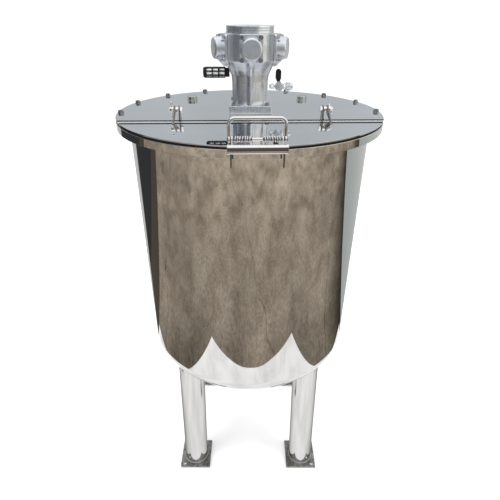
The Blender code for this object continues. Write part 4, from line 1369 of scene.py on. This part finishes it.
class TANK_OT_ports(bpy.types.Operator):
    """Make the two plugged stubs on the rear lid"""

    bl_idname = "tank.ports"
    bl_label = "Ports"

    def execute(self, context):
        for label, _ in SIDES:
            low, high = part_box("port_" + label)
            middle = (low + high) / 2
            radius, height = (high.x - low.x) / 2, high.z - low.z + 0.0003
            place = facing((middle.x, middle.y, low.z - 0.0003), UP)
            profile = [(0, 0), (radius, 0), (radius, height - 0.0012), (radius - 0.0010, height),
                       (radius - 0.0026, height), (radius - 0.0030, height - 0.0008),
                       (radius - 0.0034, height - 0.0001), (0, height - 0.0001)]
            bm = revolve(bmesh.new(), profile, 72, place=place)
            joint = circle(radius, LID_TOP + SUNK, 60, (middle.x, middle.y))
            bead(bm, joint, 0.0012, closed=True, material=1, ripple=0.002)
            settle("stub_" + label, bm, "tank", ("stub steel", "weld"), ["port_" + label])
        return {"FINISHED"}


# Legs

LEG_RADIUS, LEG_SPREAD = 0.0380, 0.1810
LEG_FOOT = 0.0080  # top of the base plates
LEG_SLOPE = 0.0180  # how far a leg leans in for each metre of its height
LEG_TURN = math.radians(-2.6)  # the legs stand slightly turned against the lid
LEG_SIDES = 96


class TANK_OT_legs(bpy.types.Operator):
    """Make the four leg tubes with their weld beads, and the drilled base plates"""

    bl_idname = "tank.legs"
    bl_label = "Legs"

    def execute(self, context):
        for label, side_x, side_y in CORNERS:
            self.make_leg(context.scene.tank_sizes, label, side_x, side_y)
            settle("foot_plate_" + label, copied("base_plate_" + label, 0.0009, 2, 50), "tank",
                   ("mill plate",), ["base_plate_" + label])
        return {"FINISHED"}

    def make_leg(self, sizes, label, side_x, side_y):
        """Leaning tube, coped to the dish, with a bead at its top and its foot."""
        spin = Matrix.Rotation(LEG_TURN, 4, "Z")
        foot, top = [], []
        for i in range(LEG_SIDES):
            angle = math.tau * i / LEG_SIDES
            x = side_x * LEG_SPREAD + LEG_RADIUS * math.cos(angle)
            y = side_y * LEG_SPREAD + LEG_RADIUS * math.sin(angle)
            height = DISH_HIGH.z  # first guess, made better in six rounds
            for _ in range(6):
                shift = (height - LEG_FOOT) * LEG_SLOPE
                height = dish_height(sizes, math.hypot(x - side_x * shift, y - side_y * shift))
            foot.append(spin @ Vector((x, y, LEG_FOOT)))
            top.append(spin @ Vector((x - side_x * shift, y - side_y * shift, height)))
        bm, sunk, levels = bmesh.new(), Vector((0, 0, 0.0005)), 8
        rows = [[bm.verts.new(a.lerp(b + sunk, k / levels)) for a, b in zip(foot, top)]
                for k in range(levels + 1)]
        loft(bm, rows, ends=False)
        bm.faces.new(rows[0])
        rim = rows[-1]
        bmesh.ops.triangle_fill(bm, edges=[bm.edges.get(pair) for pair in zip(rim, rim[1:] + rim[:1])])
        settle("leg_tube_" + label, bm, "tank", ("leg steel",), ["leg_" + label], sharp=60)
        beads = bead(bmesh.new(), top, sizes.bead, closed=True)
        centre = spin @ Vector((side_x * LEG_SPREAD, side_y * LEG_SPREAD, 0))
        joint = circle(LEG_RADIUS, LEG_FOOT + 0.0004, 120, (centre.x, centre.y))
        bead(beads, joint, sizes.bead * 1.15, closed=True)
        settle("leg_weld_" + label, beads, "tank", ("weld",))


class TANK_OT_stirrer(bpy.types.Operator):
    """Give the shaft and the impeller their finish, and add the hub's screws"""

    bl_idname = "tank.stirrer"
    bl_label = "Stirrer"

    def execute(self, context):
        give_finish("stirrer_shaft", "satin steel")
        give_finish("impeller", "satin steel")
        bm = bmesh.new()
        level = Vector((0, 0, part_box("impeller")[1].z - 0.007))
        for angle in (math.radians(20), math.radians(200)):
            out = Vector((math.cos(angle), math.sin(angle), 0))
            socket_screw(bm, facing(out * 0.0215 + level, out), 0.0035, 0.0012)
        settle("impeller_screws", bm, "tank", ("plated steel",))
        return {"FINISHED"}


# Stage

FAR = 60.0  # how far the mirrored surroundings reach

# Front edge and sides of the pale mat, whose three bays give the scallops in the dish
MAT_EDGE = [(-0.63, -0.784), (-0.30, -0.822), (0.0, -0.834), (0.30, -0.826), (0.655, -0.783),
            (0.68, 0.42), (-0.69, 0.42)]

# Soft boxes: name, place, width, power
LIGHTS = (("soft_left", (-2.6, -1.6, 3.0), 2.4, 75.0), ("soft_right", (2.8, -1.4, 2.8), 2.4, 60.0),
          ("soft_top", (0.0, 0.6, 3.8), 3.5, 90.0))


def glow(name, value):
    """Even light of an area that only the polished steel mirrors."""
    material = bpy.data.materials.new(name)
    material.use_nodes = True
    tree = material.node_tree
    tree.nodes.clear()
    source = wire(tree, "ShaderNodeEmission", {"Color": colour(value), "Strength": 1.0})
    wire(tree, "ShaderNodeOutputMaterial", {"Surface": source.outputs[0]})
    return material, tree, source.inputs["Color"]


def level(points, height):
    """Corners of a level area."""
    return [(x, y, height) for x, y in points]


def upright(start, end, low, high):
    """Corners of an upright card over a line on the ground."""
    return level((start, end), low) + level((end, start), high)


def stage_sheet(name, points, material):
    """Flat area of the surroundings that only mirrors see."""
    bm = bmesh.new()
    bm.faces.new([bm.verts.new(point) for point in points])
    sheet = bpy.data.objects.new(name, plain_mesh(name, bm, material))
    bpy.context.scene.collection.objects.link(sheet)
    sheet.visible_camera = False
    sheet.visible_diffuse = False
    sheet.visible_shadow = False
    sheet.visible_transmission = False


class TANK_OT_stage(bpy.types.Operator):
    """Make the pale floor, the mirrored surroundings, the lights and the camera"""

    bl_idname = "tank.stage"
    bl_label = "Stage"

    def execute(self, context):
        stage = context.scene.tank_stage
        self.make_floor(stage)
        self.make_ground(stage)
        self.make_areas(stage)
        self.make_cards(stage)
        self.make_sky(context.scene, stage)
        self.make_lights()
        self.make_camera(context.scene, stage)
        context.scene.view_settings.view_transform = "Standard"
        return {"FINISHED"}

    def make_floor(self, stage):
        """Large pale floor, which the mirrored ground stands in for in the steel."""
        bm = revolve(bmesh.new(), [(0, -0.0002), (9.0, -0.0002)], 96)
        material, _, sockets = shader_of("pale floor", roughness=0.9, specular=0.1)
        sockets["Base Color"].default_value = colour(stage.floor)
        floor = bpy.data.objects.new("pale_floor", plain_mesh("pale_floor", bm, material))
        bpy.context.scene.collection.objects.link(floor)
        floor.visible_glossy = False

    def make_ground(self, stage):
        """Mirrored ground: trodden earth and stone, with painted shadow beside the mat and behind on the
        right.
        """
        material, tree, socket = glow("mirrored ground", stage.ground_mid)
        look = effect(tree, "mottle", {"Scale": 2.3, "Dark": colour(stage.ground_dark),
                                       "Middle": colour(stage.ground_mid),
                                       "Light": colour(stage.ground_light)})
        place = own_place(tree)
        where = split(tree, place)
        # Painted shadow of the tank on the mirrored ground: darker behind on the right and beside the mat.
        behind = maths(tree, "MULTIPLY", remap(tree, where["Y"], -0.35, 0.40),
                       remap(tree, where["X"], 0.26, 0.52))
        beside = remap(tree, maths(tree, "ABSOLUTE", where["X"]), 0.66, 1.15, 0.50, 0.0)
        beside = maths(tree, "MULTIPLY", beside, remap(tree, where["Y"], -1.0, -0.6))
        shade = remap(tree, maths(tree, "MAXIMUM", behind, beside), 0.0, 1.0, 1.0, 0.16)
        stain = remap(tree, noise(tree, place, 0.9, 3.0)["Fac"], 0.35, 0.65, 0.80, 1.14)
        wander = {0: noise(tree, place, 2.6, 6.0)["Color"], 1: (0.35, 0.35, 0.0), 2: place}
        bent = wire(tree, "ShaderNodeVectorMath", wander, operation="MULTIPLY_ADD").outputs[0]
        crack = wire(tree, "ShaderNodeTexVoronoi", {"Vector": bent, "Scale": 0.30},
                     feature="DISTANCE_TO_EDGE", voronoi_dimensions="2D").outputs["Distance"]
        crack = remap(tree, crack, 0.001, 0.004, 0.62, 1.0)
        grit = remap(tree, noise(tree, place, 26.0, 8.0, 0.90)["Fac"], 0.36, 0.64, 0.58, 1.36)
        fade = remap(tree, where["Y"], -0.8, -3.2, 0.82, 1.16)
        for value in (stain, crack, grit, fade):
            shade = maths(tree, "MULTIPLY", shade, value)
        distant = remap(tree, where["Y"], -4.4, -6.4)
        toned = scaled(tree, look["Colour"], shade)
        tree.links.new(blended(tree, distant, toned, colour(stage.ground_far)), socket)
        corners = ((-FAR, -FAR), (FAR, -FAR), (FAR, FAR), (-FAR, FAR))
        stage_sheet("mirrored_ground", level(corners, -0.006), material)

    def make_areas(self, stage):
        """Mat and back areas that the polished steel mirrors, each a little over the one under it."""
        mat, tree, socket = glow("mirrored mat", stage.mat)
        look = effect(tree, "mottle", {"Scale": 4.0, "Dark": colour(stage.mat, 0.74),
                                       "Middle": colour(stage.mat, 0.93),
                                       "Light": colour(stage.mat, 1.03)})
        tree.links.new(look["Colour"], socket)
        pale, tree, socket = glow("mirrored pale area", stage.pale_wall)
        way = remap(tree, split(tree, own_place(tree))["Y"], 0.50, 3.5)
        near = [c * share for c, share in zip(stage.pale_wall, (0.70, 0.78, 0.78))]
        tree.links.new(blended(tree, way, colour(near), colour(stage.pale_wall, 1.08)), socket)
        grey = glow("mirrored grey area", colour(stage.pale_wall, 0.98))[0]
        dusk = glow("mirrored dusk", colour(stage.ground_mid, 0.20))[0]
        dark = glow("mirrored dark area", stage.dark_wall)[0]
        left, right, bend = (-0.45, 0.42), (0.15, 0.46), (-0.9, 0.87)
        for name, height, points, material in (
                ("mat", -0.001, MAT_EDGE, mat),
                ("back_right", -0.003, [right, (FAR, 0.50), (FAR, FAR), (0.15, FAR)], pale),
                ("back_left", -0.003, [left, right, (0.15, FAR), (-0.96 * FAR, FAR)], grey),
                ("dusk", -0.002, [(-FAR, 0.42), left, bend, (-FAR, 1.8)], dusk),
                ("dark", -0.0015, [(-FAR, 1.8), bend, (-FAR, FAR)], dark)):
            stage_sheet("mirrored_" + name, level(points, height), material)

    def make_cards(self, stage):
        """Small dark card before the handle, and a large card at each side of the air motor."""
        front = upright((-0.08, -0.40), (0.08, -0.40), 1.109, 1.160)
        stage_sheet("mirrored_card_front", front, glow("card front", stage.front_card)[0])
        for label, x, value in (("left", -0.62, stage.left_card), ("right", 0.62, stage.right_card)):
            side = upright((x, -0.80), (x, 0.10), 1.15, 1.75)
            stage_sheet("mirrored_card_" + label, side, glow("card " + label, value)[0])

    def make_sky(self, scene, stage):
        """White for the camera, and a soft cool light, brighter higher up, for the steel."""
        world = bpy.data.worlds.new("studio")
        world.use_nodes = True
        scene.world = world
        tree = world.node_tree
        tree.nodes.clear()
        direction = wire(tree, "ShaderNodeTexCoord").outputs["Generated"]
        way = split(tree, direction)
        sky = blended(tree, remap(tree, way["Z"], 0.30, 0.80), colour(stage.sky), colour(stage.high_sky))
        top = remap(tree, way["Y"], -0.10, -0.45, 0.03, 0.06)
        skyline = blended(tree, remap(tree, way["Y"], -0.20, -0.50), colour(stage.skyline, 4.0),
                          colour(stage.skyline))
        sky = blended(tree, remap(tree, maths(tree, "SUBTRACT", way["Z"], top), 0.0, 0.05), skyline, sky)
        cloud = remap(tree, noise(tree, direction, 2.2, 4.0)["Fac"], 0.35, 0.65, 0.93, 1.06)
        plain = wire(tree, "ShaderNodeBackground", {"Color": (1, 1, 1, 1), "Strength": 1.18})
        cool = wire(tree, "ShaderNodeBackground", {"Color": scaled(tree, sky, cloud), "Strength": 1.0})
        mirrored = wire(tree, "ShaderNodeLightPath").outputs["Is Glossy Ray"]
        mixed = wire(tree, "ShaderNodeMixShader", {0: mirrored, 1: plain.outputs[0], 2: cool.outputs[0]})
        wire(tree, "ShaderNodeOutputWorld", {"Surface": mixed.outputs[0]})

    def make_lights(self):
        """Soft boxes that light the floor and the matt parts, and stay out of the mirrors."""
        target = Vector((0, 0, 0.60))
        for name, place, size, power in LIGHTS:
            lamp = bpy.data.lights.new(name, "AREA")
            lamp.size = size
            lamp.energy = power
            light = bpy.data.objects.new(name, lamp)
            bpy.context.scene.collection.objects.link(light)
            light.location = place
            light.rotation_euler = (target - Vector(place)).to_track_quat("-Z", "Y").to_euler()
            light.visible_glossy = False

    def make_camera(self, scene, stage):
        """Camera at the viewing height and angle of the photograph."""
        data = bpy.data.cameras.new("camera")
        data.lens = stage.lens
        data.clip_start = 0.05
        camera = bpy.data.objects.new("camera", data)
        scene.collection.objects.link(camera)
        place = Matrix.Translation((-stage.camera_reach * math.sin(stage.camera_turn),
                                    -stage.camera_reach * math.cos(stage.camera_turn), stage.camera_height))
        camera.matrix_world = (place @ Matrix.Rotation(-stage.camera_turn - stage.camera_pan, 4, "Z")
                               @ Matrix.Rotation(math.pi / 2 - stage.camera_pitch, 4, "X")
                               @ Matrix.Rotation(stage.camera_roll, 4, "Z"))
        scene.camera = camera


class TANK_PT_pieces(bpy.types.Panel):
    """Lists the sizes, the finishes and the pieces"""

    bl_label = "Mixing tank"
    bl_idname = "TANK_PT_pieces"
    bl_space_type = "VIEW_3D"
    bl_region_type = "UI"
    bl_category = "Tank"

    def draw(self, context):
        layout = self.layout
        for group in (context.scene.tank_sizes, context.scene.tank_finishes, context.scene.tank_stage):
            column = layout.box().column()
            for name in group.bl_rna.properties.keys():
                if name not in ("rna_type", "name"):
                    column.prop(group, name)
        column = layout.column()
        for operator in OPERATORS:
            column.operator(operator.bl_idname)


OPERATORS = (TANK_OT_stage, TANK_OT_vessel, TANK_OT_lids, TANK_OT_lid_bolts, TANK_OT_hinges, TANK_OT_handle,
             TANK_OT_motor_stand, TANK_OT_crankcase, TANK_OT_cylinder_heads, TANK_OT_silencer,
             TANK_OT_air_valve, TANK_OT_ports, TANK_OT_legs, TANK_OT_stirrer)
PROPERTIES = (TankSizes, TankFinishes, TankStage)


def register():
    """Register the properties, the operators and the panel."""
    for item in PROPERTIES + OPERATORS + (TANK_PT_pieces,):
        bpy.utils.register_class(item)
    bpy.types.Scene.tank_sizes = PointerProperty(type=TankSizes)
    bpy.types.Scene.tank_finishes = PointerProperty(type=TankFinishes)
    bpy.types.Scene.tank_stage = PointerProperty(type=TankStage)


def unregister():
    """Take all of it back out."""
    del bpy.types.Scene.tank_stage
    del bpy.types.Scene.tank_finishes
    del bpy.types.Scene.tank_sizes
    for item in (TANK_PT_pieces,) + OPERATORS[::-1] + PROPERTIES[::-1]:
        bpy.utils.unregister_class(item)


def clear_start():
    """Remove what a new file starts with, apart from the frame."""
    kept = set(frame["nodes"].values()) | set(frame["bodies"].values())
    for item in list(bpy.data.objects):
        if item not in kept:
            bpy.data.objects.remove(item)


def main():
    """Make every piece and the stage."""
    register()
    clear_start()
    bpy.ops.tank.stage()
    bpy.ops.tank.vessel()
    bpy.ops.tank.lids()
    bpy.ops.tank.lid_bolts()
    bpy.ops.tank.hinges()
    bpy.ops.tank.handle()
    bpy.ops.tank.motor_stand()
    bpy.ops.tank.crankcase()
    bpy.ops.tank.cylinder_heads()
    bpy.ops.tank.silencer()
    bpy.ops.tank.air_valve()
    bpy.ops.tank.ports()
    bpy.ops.tank.legs()
    bpy.ops.tank.stirrer()


if __name__ == "__main__":
    main()
